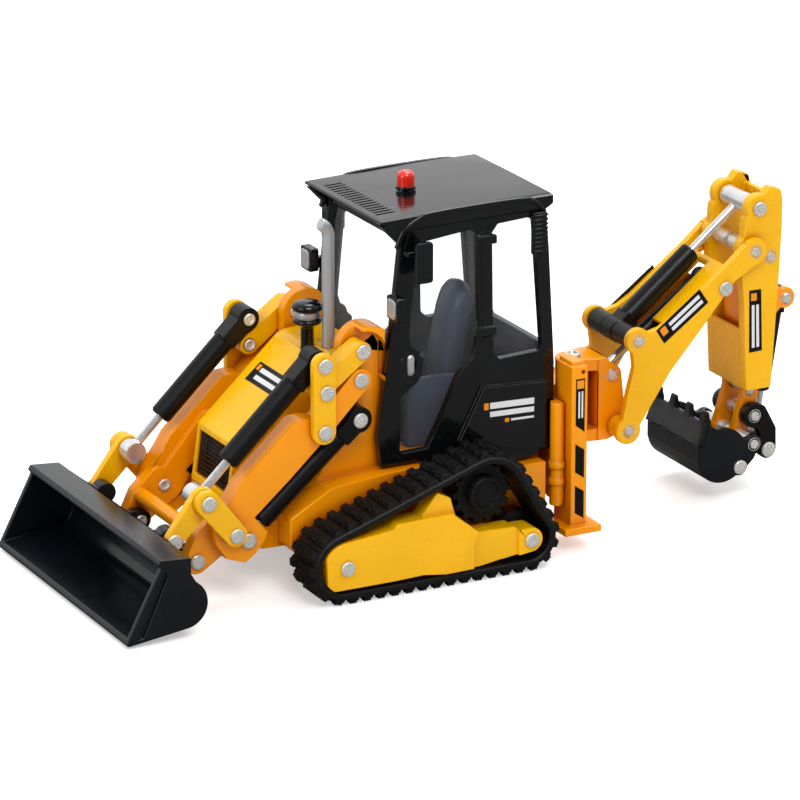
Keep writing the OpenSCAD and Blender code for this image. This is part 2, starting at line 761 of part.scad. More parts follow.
module lift_ram_barrels() {
    placed() color(ram_black) pair() difference() {
        along(lift_at, lift_front, ram_y) barrel(2.6, 2.3, 4.6, 27.4, ram_r, 9.5);
        cross_rod(lift_at, hole_r, 5, 25);
    }
}

module lift_ram_rods() {
    reach = vec_len(lift_front - lift_at);
    placed() color(nickel) pair() {
        along(lift_at, lift_front, ram_y) rotate([0, 90, 0]) translate([0, 0, reach - 16])
            cylinder(r = rod_r, h = 16);
        cross_rod(lift_front, 1.5, ram_y - 1.1, ram_y + 1.1);
    }
}

module front_lever_rivets() {
    placed() color(nickel) pair() rivet(front_low, nose_in, lever_out);
}

module front_levers() {
    placed() color(plastic_yellow) pair() plate(lever_in, lever_out) difference() {
        bar(front_low, 2.3, front_top, 2.5);
        holes([front_low, front_top]);
    }
}

module tipping_rivets() {
    placed() color(nickel) pair() stub_rivet(front_top, link_in, lever_out);
}

module tipping_links() {
    placed() color(plastic_yellow) pair() {
        plate(link_in, link_out) difference() {
            bar(front_top, 2.6, tip_at, 1.8);
            holes([front_top]);
        }
        cross_rod(tip_at, head_r, link_out - 0.2, link_out + head_t - 0.15);
        cross_rod(tip_at, head_r - 0.2, link_out - 0.2, link_out + head_t);
    }
}

module bucket_rivets() {
    placed() color(nickel) pair() rivet(bucket_at, 10.3, nose_out);
}

// Loader bucket: floor, round heel, back, top flange, two sides and its lugs
module loader_bucket() {
    wall = 1.3;
    heel = [54.8, 7];
    heel_r = 4.9;
    outline = [
        [66.6, 0.5], [66.9, 0.9], [66.2, 2.4], [59.6, 15.2], [60.2, 15.9], [59.6, 16.8], [53.3, 16.3],
        [53.3, 13], [50.6, 8.4], [50.3, 5], [51.9, 3], [54.4, 2.1]
    ];
    placed() color(scoop_black) {
        difference() {
            plate(-bucket_w, bucket_w) {
                polygon(outline);
                translate(heel) circle(heel_r);
            }
            plate(wall - bucket_w, bucket_w - wall) {
                polygon([
                    [75, 0.8], [66.9, 1.9], [54.8, 3.4], [51.6, 7.6], [53.2, 12], [54.5, 15],
                    [58.8, 15.2], [75, 15.2]
                ]);
                translate(heel) circle(heel_r - wall);
            }
            pair() plate(bucket_w - 0.7, bucket_w + 1) polygon([
                [64.6, 1.6], [58.6, 14.2], [58.2, 13.2], [63.4, 1.8]
            ]);
        }
        pair() {
            difference() {
                union() {
                    plate(nose_in + 0.3, link_in - side_gap) union() {
                        bar(tip_at, 2.1, [53.6, 12.4], 2.1);
                        polygon([[54, 9.6], [54, 16], [51, 16.6], [49.6, 13.4], [50.6, 11]]);
                    }
                    plate(10.4, nose_in - side_gap) union() {
                        bar(bucket_at, 2.3, [51.6, 8.2], 2.6);
                        polygon([[52.4, 4.4], [53, 12.4], [49.4, 13], [47, 7]]);
                    }
                }
                plate(9, 18) holes([bucket_at]);
                plate(-bucket_w, bucket_w) translate(heel) circle(heel_r - wall);
            }
            cross_rod(tip_at, shank_r, link_in - 1.4, link_in - 0.1);
        }
    }
}

// ---------------------------------------------------------------- rear frame and stabilisers

leg_front = -33.6;
leg_back = -37.2;
leg_in = 15;
leg_out = 22;

module rear_frame() {
    placed() color(body_orange) {
        difference() {
            union() {
                translate([-37.4, -13.8, 9]) cube([4.2, 27.6, 23.4]);
                translate([-43.6, -2.7, 17.9]) cube([8, 5.4, 12]);
                translate([-34, -9, 10.5]) cube([2.55, 18, 7.5]);
                translate([slew_x, 0, 17.9]) cylinder(r = 3.3, h = 12);
                pair() {
                    translate([-33.4, 13, 9]) cube([0.5, 6.4, 21.4]);
                    translate([-33.4, 16.8, 9]) cube([1.9, 2, 21.4]);
                    translate([-32.3, 18.4, 9]) cylinder(r = 1.4, h = 21.4);
                    for (z = [13.4, 16.8]) translate([-32.3, 18.4, z]) cylinder(r = 1.8, h = 1.4);
                    translate([-36.2, 13, 12]) cube([1.6, 5.6, 15]);
                }
            }
            translate([slew_x, 0, 0]) cylinder(r = hole_r, h = 50);
            pair() translate([-40, -12.6, 11]) cube([5, 9, 19]);
            pair() translate([leg_back - 1, leg_in - 0.2, 0]) cube([leg_front - leg_back + 1.15, 20, 11.9]);
            pair() translate([leg_front - 0.95, leg_in - 0.2, 0]) cube([1.1, 20, 40]);
            pair() translate([-32.9, 10, 0]) cube([4, 6.5, 40]);
        }
    }
}

// Stabiliser leg: a box open to the inside, where it slides on the frame's tongue
module stabiliser() {
    difference() {
        union() {
            translate([leg_back, leg_in, 5]) cube([leg_front - leg_back, leg_out - leg_in, 33.2]);
            translate([leg_back + 0.5, leg_in + 0.8, 38])
                cube([leg_front - leg_back - 1, leg_out - leg_in - 1.6, 1.1]);
            translate([-39.8, 13.6, 3.7]) cube([8.2, 10, 1.5]);
        }
        translate([-36.3, leg_in - 1, 8]) cube([1.8, 4.8, 29]);
        cross_rod([-36.2, 37], 0.4, leg_out - 1, leg_out + 1);
    }
}

module stabiliser_left() { placed() color(body_orange) stabiliser(); }
module stabiliser_right() { placed() color(body_orange) mirror([0, 1, 0]) stabiliser(); }

// ---------------------------------------------------------------- backhoe

// Slew post: a fork around the rear frame's hub, with ears for the boom and its ram
module slew_post() {
    placed() color(body_orange) difference() {
        union() {
            for (z = [15.2, 30.1]) translate([0, 0, z]) linear_extrude(2.5) {
                translate([slew_x, 0]) circle(3.5);
                polygon([
                    [slew_x, 3.4], [slew_x - 4, post_out], [slew_x - 5.6, post_out],
                    [slew_x - 5.6, -post_out], [slew_x - 4, -post_out], [slew_x, -3.4]
                ]);
            }
            translate([slew_x - 4.7, -post_out, 15.2]) cube([1.2, 2 * post_out, 17.4]);
            pair() plate(post_in, post_out) difference() {
                union() {
                    bar(boom_ram_at, 2.2, boom_at, 2.3);
                    polygon([
                        [-50, 15.2], [-50, 32.6], [-51.4, 32.6], boom_ram_at + [-1, 1.7],
                        boom_at + [-1, -1.9], [-52, 15.2]
                    ]);
                }
                holes([boom_ram_at, boom_at]);
            }
        }
        translate([slew_x, 0, 0]) cylinder(r = hole_r, h = 50);
    }
}

module post_rivets() {
    placed() color(nickel) {
        through_rivet(boom_ram_at, post_out);
        through_rivet(boom_at, boom_out);
    }
}

// Boom: two side plates joined by a slotted top web
module boom() {
    side = [
        [-52.4, 20], [-53.6, 26], [-55, 31.4], [-54.4, 35.6], [-58, 38.2], [-61, 38.9],
        [-64, 40.6], [-76.7, 50.2], [-80.8, 53.8], [-84.6, 49.8], [-78.6, 46.4], [-71.4, 38.2],
        [-63.5, 29.3], [-56.6, 19]
    ];
    placed() color(plastic_yellow) difference() {
        union() {
            pair() {
                plate(boom_in, boom_out) {
                    polygon(side);
                    translate(boom_heel) circle(2.65);
                    translate(boom_at) circle(2.8);
                    translate(dipper_at) circle(2.8);
                }
                cross_rod(boom_at, 2.3, post_out + side_gap, boom_in + 0.2);
            }
            plate(-boom_in - 0.3, boom_in + 0.3) polygon([
                [-63.2, 38.6], [-77, 49.4], [-77, 47.9], [-64, 37.6]
            ]);
        }
        translate([-76.3, -1.95, 30]) cube([23, 3.9, 30]);
        for (at = [boom_heel, boom_at, boom_mid, dipper_at]) cross_rod(at, hole_r, -20, 20);
    }
}

module boom_rivets() {
    placed() color(nickel) {
        through_rivet(boom_heel, boom_out);
        through_rivet(dipper_at, boom_out);
        pair() stub_rivet(boom_mid, boom_in, boom_out);
    }
}

module boom_ram_rod() {
    placed() color(nickel) difference() {
        union() {
            along(boom_ram_at, boom_mid, 0) rotate([0, 90, 0]) cylinder(r = rod_r, h = 17);
            cross_rod(boom_ram_at, 1.7, -2.1, 2.1);
        }
        cross_rod(boom_ram_at, hole_r, -5, 5);
    }
}

module boom_ram_barrel() {
    placed() color(ram_black)
        along(boom_mid, boom_ram_at, 0) barrel(1.8, 1.5, 3, 18, 1.65, 5);
}

// Dipper: two side plates with ears, a front sleeve web and a rear web at the ears
module dipper() {
    placed() color(plastic_yellow) {
        pair() plate(dip_in, dip_out) difference() {
            union() {
                polygon([
                    [-90.1, 61.4], [-89.6, 63.6], [-87, 64.4], [-85.6, 62.6], [-81.4, 58],
                    [-80.6, 48], [-81.5, 40],
                    [-81.7, 34.6], [-82.4, 21.7], [-88.3, 21.7], [-89.6, 44], [-90.1, 56]
                ]);
                translate(dipper_top) circle(2.9);
                translate(dipper_at) circle(3);
            }
            holes([dipper_top, dipper_at, dipper_stop]);
        }
        plate(-dip_in - 0.3, dip_in + 0.3) polygon([
            [-81.75, 34.4], [-82.4, 21.7], [-83.1, 21.7], [-82.6, 34.4]
        ]);
        plate(-dip_in - 0.3, dip_in + 0.3) polygon([[-90.1, 57], [-89.9, 62], [-88.6, 62], [-88.8, 57]]);
        pair() plate(ext_out + side_gap, dip_in + 0.3) polygon([
            [-84.2, 33], [-84.8, 23], [-86.6, 23], [-86.6, 33]
        ]);
    }
}

module dipper_rivets() {
    placed() color(nickel) {
        through_rivet(dipper_stop, dip_out);
        pair() stub_rivet(dipper_top, dip_in, dip_out);
    }
}

module dipper_ram_barrel() {
    placed() color(ram_black) difference() {
        union() {
            along(boom_heel, dipper_top, 0) barrel(2.4, 2, 3.4, 22.4, 2.15, 9);
            cross_rod(boom_heel, 2.3, -boom_in + 0.2, boom_in - 0.2);
        }
        cross_rod(boom_heel, hole_r, -20, 20);
    }
}

module dipper_ram_rod() {
    reach = vec_len(dipper_top - boom_heel);
    placed() color(nickel) {
        along(boom_heel, dipper_top, 0) rotate([0, 90, 0]) translate([0, 0, reach - 20.5])
            cylinder(r = rod_r, h = 20);
        cross_rod(dipper_top, 2, -dip_in + 0.3, dip_in - 0.3);
    }
}

// Extension that slides in the dipper, with back lobes for the bucket ram
module dipper_extension() {
    placed() color(body_orange) {
        pair() plate(ext_in, ext_out) difference() {
            union() {
                polygon([
                    [-83.7, 43], [-88, 43.4], [-92.6, 41.2], [-92.4, 37.2], [-88, 33], [-87.2, 18.6],
                    scoop_at + [-1.9, 0.4], scoop_at + [1.7, 0.6], [-83.6, 20]
                ]);
                translate(crowd_lobe) circle(2.2);
                translate(scoop_at) circle(2);
            }
            holes([crowd_lobe, lever_at, scoop_at, [-85.5, 20.2]]);
        }
        plate(-ext_in - 0.3, ext_in + 0.3) polygon([[-83.7, 43], [-83.6, 24], [-84.4, 24], [-84.5, 43]]);
    }
}

module extension_rivets() {
    placed() color(nickel) {
        through_rivet(crowd_lobe, ext_out);
        cross_rod([-85.5, 20.2], shank_r, -ext_out - 0.12, ext_out + 0.12);
        through_rivet(lever_at, fork_out);
        through_rivet(scoop_at, scoop_w);
    }
}

module bucket_ram_barrel() {
    placed() color(ram_black) difference() {
        along(crowd_lobe, lever_low, 0) barrel(2, 2.2, 3.2, 20.6, 1.9, 6.6);
        cross_rod(crowd_lobe, hole_r, -20, 20);
    }
}

module bucket_ram_rod() {
    reach = vec_len(lever_low - crowd_lobe);
    placed() color(nickel) {
        along(crowd_lobe, lever_low, 0) rotate([0, 90, 0]) translate([0, 0, reach - 15.8])
            cylinder(r = rod_r, h = 14);
        along(crowd_lobe, lever_low, 0) rotate([0, 90, 0]) translate([0, 0, reach - 2.6])
            cylinder(r = 1.3, h = 1);
    }
}

// Bent levers between the extension and the bucket link
module tipping_levers() {
    bulge = (lever_at + lever_low) / 2 + [-1.7, 0.1];
    placed() color(ram_black) {
        pair() plate(ext_out + side_gap, fork_out) difference() {
            union() {
                translate(lever_at) circle(2.5);
                bar(lever_at + [-1, 0.3], 2, bulge, 1.85);
                bar(bulge, 1.85, lever_low, 2);
            }
            holes([lever_at]);
        }
        cross_rod(lever_low, shank_r, -fork_out - 0.3, fork_out + 0.3);
        pair() {
            cross_rod(lever_low, head_r - 0.1, fork_out - 0.1, fork_out + 0.6);
        }
    }
}

module bucket_link() {
    placed() color(ram_black) pair() plate(1.9, 3) difference() {
        bar(lever_low, 1.6, scoop_link, 1.6);
        holes([lever_low, scoop_link]);
    }
}

module link_rivet() {
    placed() color(nickel) pair() stub_rivet(scoop_link, scoop_in - 0.6, scoop_w);
}

// Digging bucket: curved shell, two sides with ears, ribs and four teeth
module digging_bucket() {
    wall = 1.1;
    centre = [-75.5, 9.7];
    shell_r = 5.8;
    placed() color(scoop_black) {
        difference() {
            plate(-scoop_w, scoop_w) {
                translate(centre) circle(shell_r);
                polygon([
                    [-71.4, 17.2], [-69.7, 12.4], [-69.7, 9], [-76, 9], [-80, 5.6], scoop_link + [0, -1.9],
                    [-83, 8], scoop_at + [-1.6, 0], scoop_at + [-0.4, 1.6], [-79.4, 12.4]
                ]);
                translate(scoop_at) circle(1.9);
                translate(scoop_link) circle(1.9);
            }
            plate(-scoop_in, scoop_in) {
                translate(centre) circle(shell_r - wall);
                polygon([
                    [-72.4, 18], [-70.8, 12.4], [-71, 8.8], [-77.6, 6.4], [-78.2, 11.4], [-79.4, 20]
                ]);
                polygon([[-76, 30], [-78.6, 9.2], [-77.7, 5.6], [-78.2, 2], [-90, 2], [-90, 30]]);
            }
            holes_across([scoop_at, scoop_link], 20);
        }
        for (k = [-1.5 : 1 : 1.5]) translate([0, k * 6.2, 0]) plate(-1.05, 1.05) polygon([
            [-70.9, 16.4], [-71.6, 19.6], [-72.2, 19.6], [-72.6, 16.2], [-70.6, 12.6], [-69.4, 12.6]
        ]);
        plate(-scoop_w - 0.2, scoop_w + 0.2) polygon([
            [-71.2, 17.3], [-72.2, 17.1], [-70.9, 12.6], [-69.4, 12.4]
        ]);
    }
}

module holes_across(points, reach) {
    for (p = points) cross_rod(p, hole_r, -reach, reach);
}

chassis();
bonnet();
front_grille();
side_vents();
exhaust_stack();
air_cleaner();
cab_frame();
roof();
beacon();
cab_glazing();
cab_mirrors();
work_lamps();
seat();
track_frame_left();
track_frame_right();
track_belt_left();
track_belt_right();
chassis_rivets();
rear_frame();
sprocket_left();
sprocket_right();
front_idler_left();
front_idler_right();
rear_idler_left();
rear_idler_right();
stabiliser_left();
stabiliser_right();
loader_arms();
tie_links();
rear_levers();
rear_lever_rivets();
crowd_ram_rivets();
crowd_ram_barrels();
crowd_ram_rods();
front_lever_rivets();
front_levers();
tipping_rivets();
tipping_links();
bucket_rivets();
loader_bucket();
lift_ram_barrels();
lift_ram_rods();
slew_post();
post_rivets();
boom();
boom_rivets();
boom_ram_rod();
boom_ram_barrel();
dipper();
dipper_rivets();
dipper_ram_barrel();
dipper_ram_rod();
dipper_extension();
extension_rivets();
bucket_ram_barrel();
bucket_ram_rod();
tipping_levers();
bucket_link();
digging_bucket();
link_rivet();
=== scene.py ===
import json
import math

import bmesh
import bpy
from mathutils import Matrix, Vector
from mathutils.bvhtree import BVHTree


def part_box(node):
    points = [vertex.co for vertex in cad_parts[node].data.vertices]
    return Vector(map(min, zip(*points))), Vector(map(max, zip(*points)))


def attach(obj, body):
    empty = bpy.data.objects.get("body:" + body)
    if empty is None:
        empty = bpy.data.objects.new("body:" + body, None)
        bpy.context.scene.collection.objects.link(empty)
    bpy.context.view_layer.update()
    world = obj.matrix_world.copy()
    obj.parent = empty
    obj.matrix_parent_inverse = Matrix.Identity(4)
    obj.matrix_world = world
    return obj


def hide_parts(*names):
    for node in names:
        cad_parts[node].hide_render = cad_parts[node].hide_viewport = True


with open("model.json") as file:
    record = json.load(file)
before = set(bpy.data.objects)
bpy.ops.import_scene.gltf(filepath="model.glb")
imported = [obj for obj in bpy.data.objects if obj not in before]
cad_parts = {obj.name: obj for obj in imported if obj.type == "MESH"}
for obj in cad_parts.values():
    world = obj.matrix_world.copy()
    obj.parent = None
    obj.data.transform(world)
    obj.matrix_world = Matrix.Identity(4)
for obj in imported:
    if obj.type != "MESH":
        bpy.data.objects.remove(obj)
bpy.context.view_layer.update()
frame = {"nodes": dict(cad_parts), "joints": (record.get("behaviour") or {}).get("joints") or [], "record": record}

# Looks for a tracked backhoe loader toy. Lengths are metres, +X forward, +Y to its left, +Z up.
# Pins and wheels are found from the joints' places, and panels from the CAD nodes' boxes.
# Small outlines are in mm in the machine's own frame, which machine_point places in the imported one.

MM = 0.001


pins = {j["name"]: Vector(j["pos_m"]) for j in frame["joints"] if "pos_m" in j}
body_of = {}
for body_name, members in frame["record"]["behaviour"]["bodies"].items():
    for member in members:
        body_of[member] = body_name

# The machine's own origin: under the middle of the track's ground contact
TRACK_MIDDLE = 46.0 * MM
origin_x = pins["slew"].x + TRACK_MIDDLE


# ---------------------------------------------------------------- materials

def new_material(name):
    """Material with one principled shader, its node tree and the shader."""
    material = bpy.data.materials.new(name)
    material.use_nodes = True
    nodes = material.node_tree.nodes
    nodes.clear()
    output = nodes.new("ShaderNodeOutputMaterial")
    shader = nodes.new("ShaderNodeBsdfPrincipled")
    material.node_tree.links.new(shader.outputs[0], output.inputs[0])
    return material, material.node_tree, shader


def add_node(tree, kind, inputs=None, **settings):
    """New node, with each input set to a value or linked from a socket."""
    node = tree.nodes.new(kind)
    for key, value in settings.items():
        setattr(node, key, value)
    for key, value in (inputs or {}).items():
        if isinstance(value, bpy.types.NodeSocket):
            tree.links.new(value, node.inputs[key])
        else:
            node.inputs[key].default_value = value
    return node


def object_noise(tree, size, detail=3.0, stretch=(1, 1, 1)):
    """Noise whose features are about `size` metres across, fixed to the piece."""
    coords = add_node(tree, "ShaderNodeTexCoord")
    mapping = add_node(tree, "ShaderNodeMapping", {"Vector": coords.outputs["Object"], "Scale": stretch})
    noise = add_node(tree, "ShaderNodeTexNoise", {"Vector": mapping.outputs[0], "Scale": 1.0 / size,
                                                  "Detail": detail})
    return noise.outputs["Fac"]


def remap(tree, value, low, high, start=0.3, end=0.7):
    """Value from start..end spread over low..high."""
    node = add_node(tree, "ShaderNodeMapRange", {"Value": value, "From Min": start, "From Max": end,
                                                 "To Min": low, "To Max": high})
    return node.outputs[0]


def mix_colour(tree, factor, first, second, blend="MIX"):
    """Colour between first and second, each a socket or three numbers."""
    node = add_node(tree, "ShaderNodeMix", data_type="RGBA", blend_type=blend)
    for socket, value in ((node.inputs[0], factor), (node.inputs[6], first), (node.inputs[7], second)):
        if isinstance(value, bpy.types.NodeSocket):
            tree.links.new(value, socket)
        elif isinstance(value, (int, float)):
            socket.default_value = value
        else:
            socket.default_value = (*value, 1.0)
    return node.outputs[2]


def rounded_bump(tree, shader, height, strength, depth, edge):
    """Surface texture on top of edges that catch the light over `edge` metres."""
    soft = add_node(tree, "ShaderNodeBevel", {"Radius": edge}, samples=4)
    bump = add_node(tree, "ShaderNodeBump", {"Height": height, "Strength": strength, "Distance": depth,
                                             "Normal": soft.outputs[0]})
    tree.links.new(bump.outputs[0], shader.inputs["Normal"])


def painted(name, base, shade_colour, roughness=0.3, coat=0.35, grain=0.5 * MM, bump=0.25, edge=0.15 * MM,
            sheen_shift=0.05, shade_reach=2.5 * MM, metallic=0.0, subsurface=0.0, gloss=0.3):
    """Glossy paint or moulded plastic: painted shade darkens the colour in hollows, with a faint orange-peel
    surface.
    """
    material, tree, shader = new_material(name)
    broad = remap(tree, object_noise(tree, 14 * MM, 2.0), 0.0, 1.0)
    lighter = tuple(min(1.0, c * (1 + sheen_shift)) for c in base)
    darker = tuple(c * (1 - sheen_shift) for c in base)
    tone = mix_colour(tree, broad, darker, lighter)
    # Painted shade: where ambient occlusion finds nearby surfaces, the colour turns towards the given darker shade
    # colour.
    shade_ao = add_node(tree, "ShaderNodeAmbientOcclusion", {"Distance": shade_reach}, samples=6)
    unshaded_share = remap(tree, shade_ao.outputs["AO"], 0.0, 1.0, 0.25, 0.9)
    colour = mix_colour(tree, unshaded_share, shade_colour, tone)
    tree.links.new(colour, shader.inputs["Base Color"])
    fine = object_noise(tree, grain, 4.0)
    tree.links.new(remap(tree, fine, roughness - 0.03, roughness + 0.04), shader.inputs["Roughness"])
    shader.inputs["Coat Weight"].default_value = coat
    shader.inputs["Coat Roughness"].default_value = 0.12
    shader.inputs["Specular IOR Level"].default_value = gloss
    shader.inputs["Metallic"].default_value = metallic
    if subsurface:
        shader.inputs["Subsurface Weight"].default_value = subsurface
        shader.inputs["Subsurface Radius"].default_value = (1.0, 0.5, 0.1)
        shader.inputs["Subsurface Scale"].default_value = 0.8 * MM
    rounded_bump(tree, shader, fine, bump, 0.02 * MM, edge)
    return material


def metal(name, base, roughness=0.2, scratch=0.35, metallic=1.0, edge=0.12 * MM):
    """Bright plated metal with fine scratches, a little duller and darker in random cloudy patches."""
    material, tree, shader = new_material(name)
    cloudy = object_noise(tree, 1.5 * MM, 3.0)
    scratches = object_noise(tree, 0.35 * MM, 6.0, stretch=(1, 6, 1))
    dull = tuple(c * 0.82 for c in base)
    tree.links.new(mix_colour(tree, remap(tree, cloudy, 0, 1), dull, base), shader.inputs["Base Color"])
    tree.links.new(remap(tree, scratches, roughness - 0.06, roughness + 0.12), shader.inputs["Roughness"])
    shader.inputs["Metallic"].default_value = metallic
    rounded_bump(tree, shader, scratches, scratch, 0.012 * MM, edge)
    return material


def rubber(name, base, dust):
    """Dull rubber with a coarse moulded texture and paler dust specks spread at random."""
    material, tree, shader = new_material(name)
    coarse = object_noise(tree, 0.45 * MM, 5.0)
    broad = object_noise(tree, 6 * MM, 3.0)
    speck = mix_colour(tree, remap(tree, coarse, 0, 0.6, 0.45, 0.75), base, dust)
    tree.links.new(mix_colour(tree, remap(tree, broad, 0.0, 0.5), speck, base), shader.inputs["Base Color"])
    tree.links.new(remap(tree, coarse, 0.38, 0.62), shader.inputs["Roughness"])
    shader.inputs["Specular IOR Level"].default_value = 0.3
    rounded_bump(tree, shader, coarse, 0.6, 0.09 * MM, 0.12 * MM)
    return material


def clear_plastic(name, tint):
    """Clear, faintly smoky moulding: light passes straight through, with a glossy skin."""
    material, tree, shader = new_material(name)
    waves = object_noise(tree, 9 * MM, 2.0)
    tree.links.new(mix_colour(tree, remap(tree, waves, 0, 1), tint, (0.9, 0.93, 0.96)),
                   shader.inputs["Base Color"])
    tree.links.new(remap(tree, waves, 0.04, 0.1), shader.inputs["Roughness"])
    bump = add_node(tree, "ShaderNodeBump", {"Height": waves, "Strength": 0.08, "Distance": 0.1 * MM})
    tree.links.new(bump.outputs[0], shader.inputs["Normal"])
    through = add_node(tree, "ShaderNodeBsdfTransparent", {"Color": (*tint, 1.0)})
    facing = add_node(tree, "ShaderNodeLayerWeight", {"Blend": 0.25})
    share = remap(tree, facing.outputs["Facing"], 0.02, 0.3, 0.2, 1.0)
    blend = add_node(tree, "ShaderNodeMixShader", {0: share, 1: through.outputs[0], 2: shader.outputs[0]})
    output = next(n for n in tree.nodes if n.type == "OUTPUT_MATERIAL")
    tree.links.new(blend.outputs[0], output.inputs[0])
    return material


# In each painted material the second colour is the painted shade colour used in hollows and between parts.
MATERIALS = {
    "body_paint": painted("body_paint", (0.93, 0.315, 0.0), (0.55, 0.10, 0.0), 0.2, 0.35, grain=0.9 * MM,
                          bump=0.06),
    "yellow_plastic": painted("yellow_plastic", (0.90, 0.47, 0.0), (0.72, 0.24, 0.0), 0.26, 0.2,
                              grain=0.9 * MM, bump=0.05, subsurface=0.08),
    "black_plastic": painted("black_plastic", (0.003, 0.0035, 0.004), (0.001, 0.001, 0.001), 0.14, 0.3,
                             bump=0.03, grain=0.9 * MM, sheen_shift=0.3, gloss=0.35),
    "ram_black": painted("ram_black", (0.003, 0.003, 0.0035), (0.001, 0.001, 0.001), 0.34, 0.0, bump=0.12,
                         sheen_shift=0.3, gloss=0.3),
    "scoop_paint": painted("scoop_paint", (0.0035, 0.005, 0.007), (0.001, 0.0015, 0.002), 0.22, 0.15,
                           bump=0.05, grain=0.9 * MM, sheen_shift=0.3, gloss=0.3),
    "wheel_plastic": painted("wheel_plastic", (0.0035, 0.0035, 0.004), (0.001, 0.001, 0.001), 0.4, 0.0,
                             sheen_shift=0.3, gloss=0.3),
    "seat_grey": painted("seat_grey", (0.05, 0.058, 0.09), (0.016, 0.018, 0.03), 0.34, 0.15),
    "silver_plastic": painted("silver_plastic", (0.62, 0.63, 0.64), (0.25, 0.25, 0.25), 0.32, 0.2,
                              grain=0.25 * MM, bump=0.2, metallic=0.7),
    "rivet_nickel": metal("rivet_nickel", (0.86, 0.85, 0.80), 0.26, 0.3, 0.55),
    "rod_chrome": metal("rod_chrome", (0.90, 0.90, 0.90), 0.1, 0.08, 0.75),
    "beacon_red": painted("beacon_red", (0.80, 0.02, 0.005), (0.4, 0.006, 0.002), 0.12, 0.6, bump=0.03,
                          subsurface=0.15, gloss=0.5),
    "label_white": painted("label_white", (0.72, 0.73, 0.74), (0.5, 0.5, 0.5), 0.4, 0.1, bump=0.03),
    "label_orange": painted("label_orange", (0.85, 0.27, 0.0), (0.6, 0.14, 0.0), 0.4, 0.1, bump=0.03),
    "tread": rubber("tread", (0.0035, 0.0035, 0.004), (0.02, 0.021, 0.022)),
    "clear_glazing": clear_plastic("clear_glazing", (0.955, 0.965, 0.975)),
}


# ---------------------------------------------------------------- mesh helpers

AXIS_X, AXIS_Y, AXIS_Z = Vector((1, 0, 0)), Vector((0, 1, 0)), Vector((0, 0, 1))


def finish_mesh(bm, name, slot_name, body, smooth_angle=32):
    """Object from a bmesh, with its material, the body it rides on, and creases past smooth_angle."""
    mesh = bpy.data.meshes.new(name)
    bm.to_mesh(mesh)
    bm.free()
    for polygon in mesh.polygons:
        polygon.use_smooth = True
    mesh.set_sharp_from_angle(angle=math.radians(smooth_angle))
    piece = bpy.data.objects.new(name, mesh)
    bpy.context.scene.collection.objects.link(piece)
    mesh.materials.append(MATERIALS[slot_name])
    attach(piece, body)
    return piece


def add_ring(bm, places):
    """One loop of new vertices."""
    return [bm.verts.new(place) for place in places]


def bridge(bm, here, after):
    """Band of faces between two loops of equal length."""
    count = len(here)
    faces = []
    for i in range(count):
        j = (i + 1) % count
        faces.append(bm.faces.new((here[i], here[j], after[j], after[i])))
    return faces


def bridge_all(bm, rings):
    """Bands between each loop and the next one."""
    for here, after in zip(rings, rings[1:]):
        bridge(bm, here, after)


def clean_copy(node):
    """The CAD node's surface with its seams merged."""
    bm = bmesh.new()
    bm.from_mesh(frame["nodes"][node].data)
    bmesh.ops.remove_doubles(bm, verts=bm.verts, dist=0.001 * MM)
    bmesh.ops.recalc_face_normals(bm, faces=bm.faces)
    return bm


def soften(node, slot_name, edge=0.2 * MM, segments=2, angle=40):
    """Stands for a CAD node with its sharp edges rounded, as a cast or moulded piece has them."""
    bm = clean_copy(node)
    surface = BVHTree.FromBMesh(bm)
    sharp = [e for e in bm.edges if e.is_manifold and e.calc_face_angle(0.0) > math.radians(angle)]
    bmesh.ops.bevel(bm, geom=sharp, offset=edge, segments=segments, profile=0.5, affect="EDGES",
                    clamp_overlap=False, offset_type="OFFSET")
    # Where short edges crowd together a corner can overshoot: it goes back to the surface
    for vert in bm.verts:
        place, _, _, distance = surface.find_nearest(vert.co)
        if distance > 0.6 * edge:
            vert.co = place
    piece = finish_mesh(bm, node + "_body", slot_name, body_of[node])
    weighted = piece.modifiers.new("weighted", "WEIGHTED_NORMAL")
    weighted.keep_sharp = True
    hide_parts(node)
    return piece


SOFTENED = {
    "body_paint": (0.25, ["chassis", "rear_frame", "stabiliser_left", "stabiliser_right", "loader_arms",
                          "slew_post", "dipper_extension"]),
    "yellow_plastic": (0.25, ["bonnet", "track_frame_left", "track_frame_right", "tie_links", "rear_levers",
                              "front_levers", "tipping_links", "boom", "dipper"]),
    "black_plastic": (0.22, ["cab_frame", "roof", "cab_mirrors", "work_lamps", "air_cleaner"]),
    "ram_black": (0.15, ["front_grille", "side_vents", "crowd_ram_barrels", "lift_ram_barrels",
                         "boom_ram_barrel", "dipper_ram_barrel", "bucket_ram_barrel", "bucket_link",
                         "tipping_levers"]),
    "scoop_paint": (0.25, ["loader_bucket", "digging_bucket"]),
    "wheel_plastic": (0.12, ["sprocket_left", "sprocket_right", "front_idler_left", "front_idler_right",
                             "rear_idler_left", "rear_idler_right"]),
    "silver_plastic": (0.1, ["exhaust_stack"]),
    "clear_glazing": (0.1, ["cab_glazing"]),
    "rod_chrome": (0.12, ["crowd_ram_rods", "lift_ram_rods", "boom_ram_rod", "dipper_ram_rod",
                          "bucket_ram_rod"]),
}

for slot_name, (width, nodes) in SOFTENED.items():
    for node in nodes:
        soften(node, slot_name, width * MM)


# ---------------------------------------------------------------- track belts

LUG_COUNT = 42
LUG_HEIGHT = 1.2 * MM
BELT_THICK = 1.3 * MM
BELT_STEPS = 420


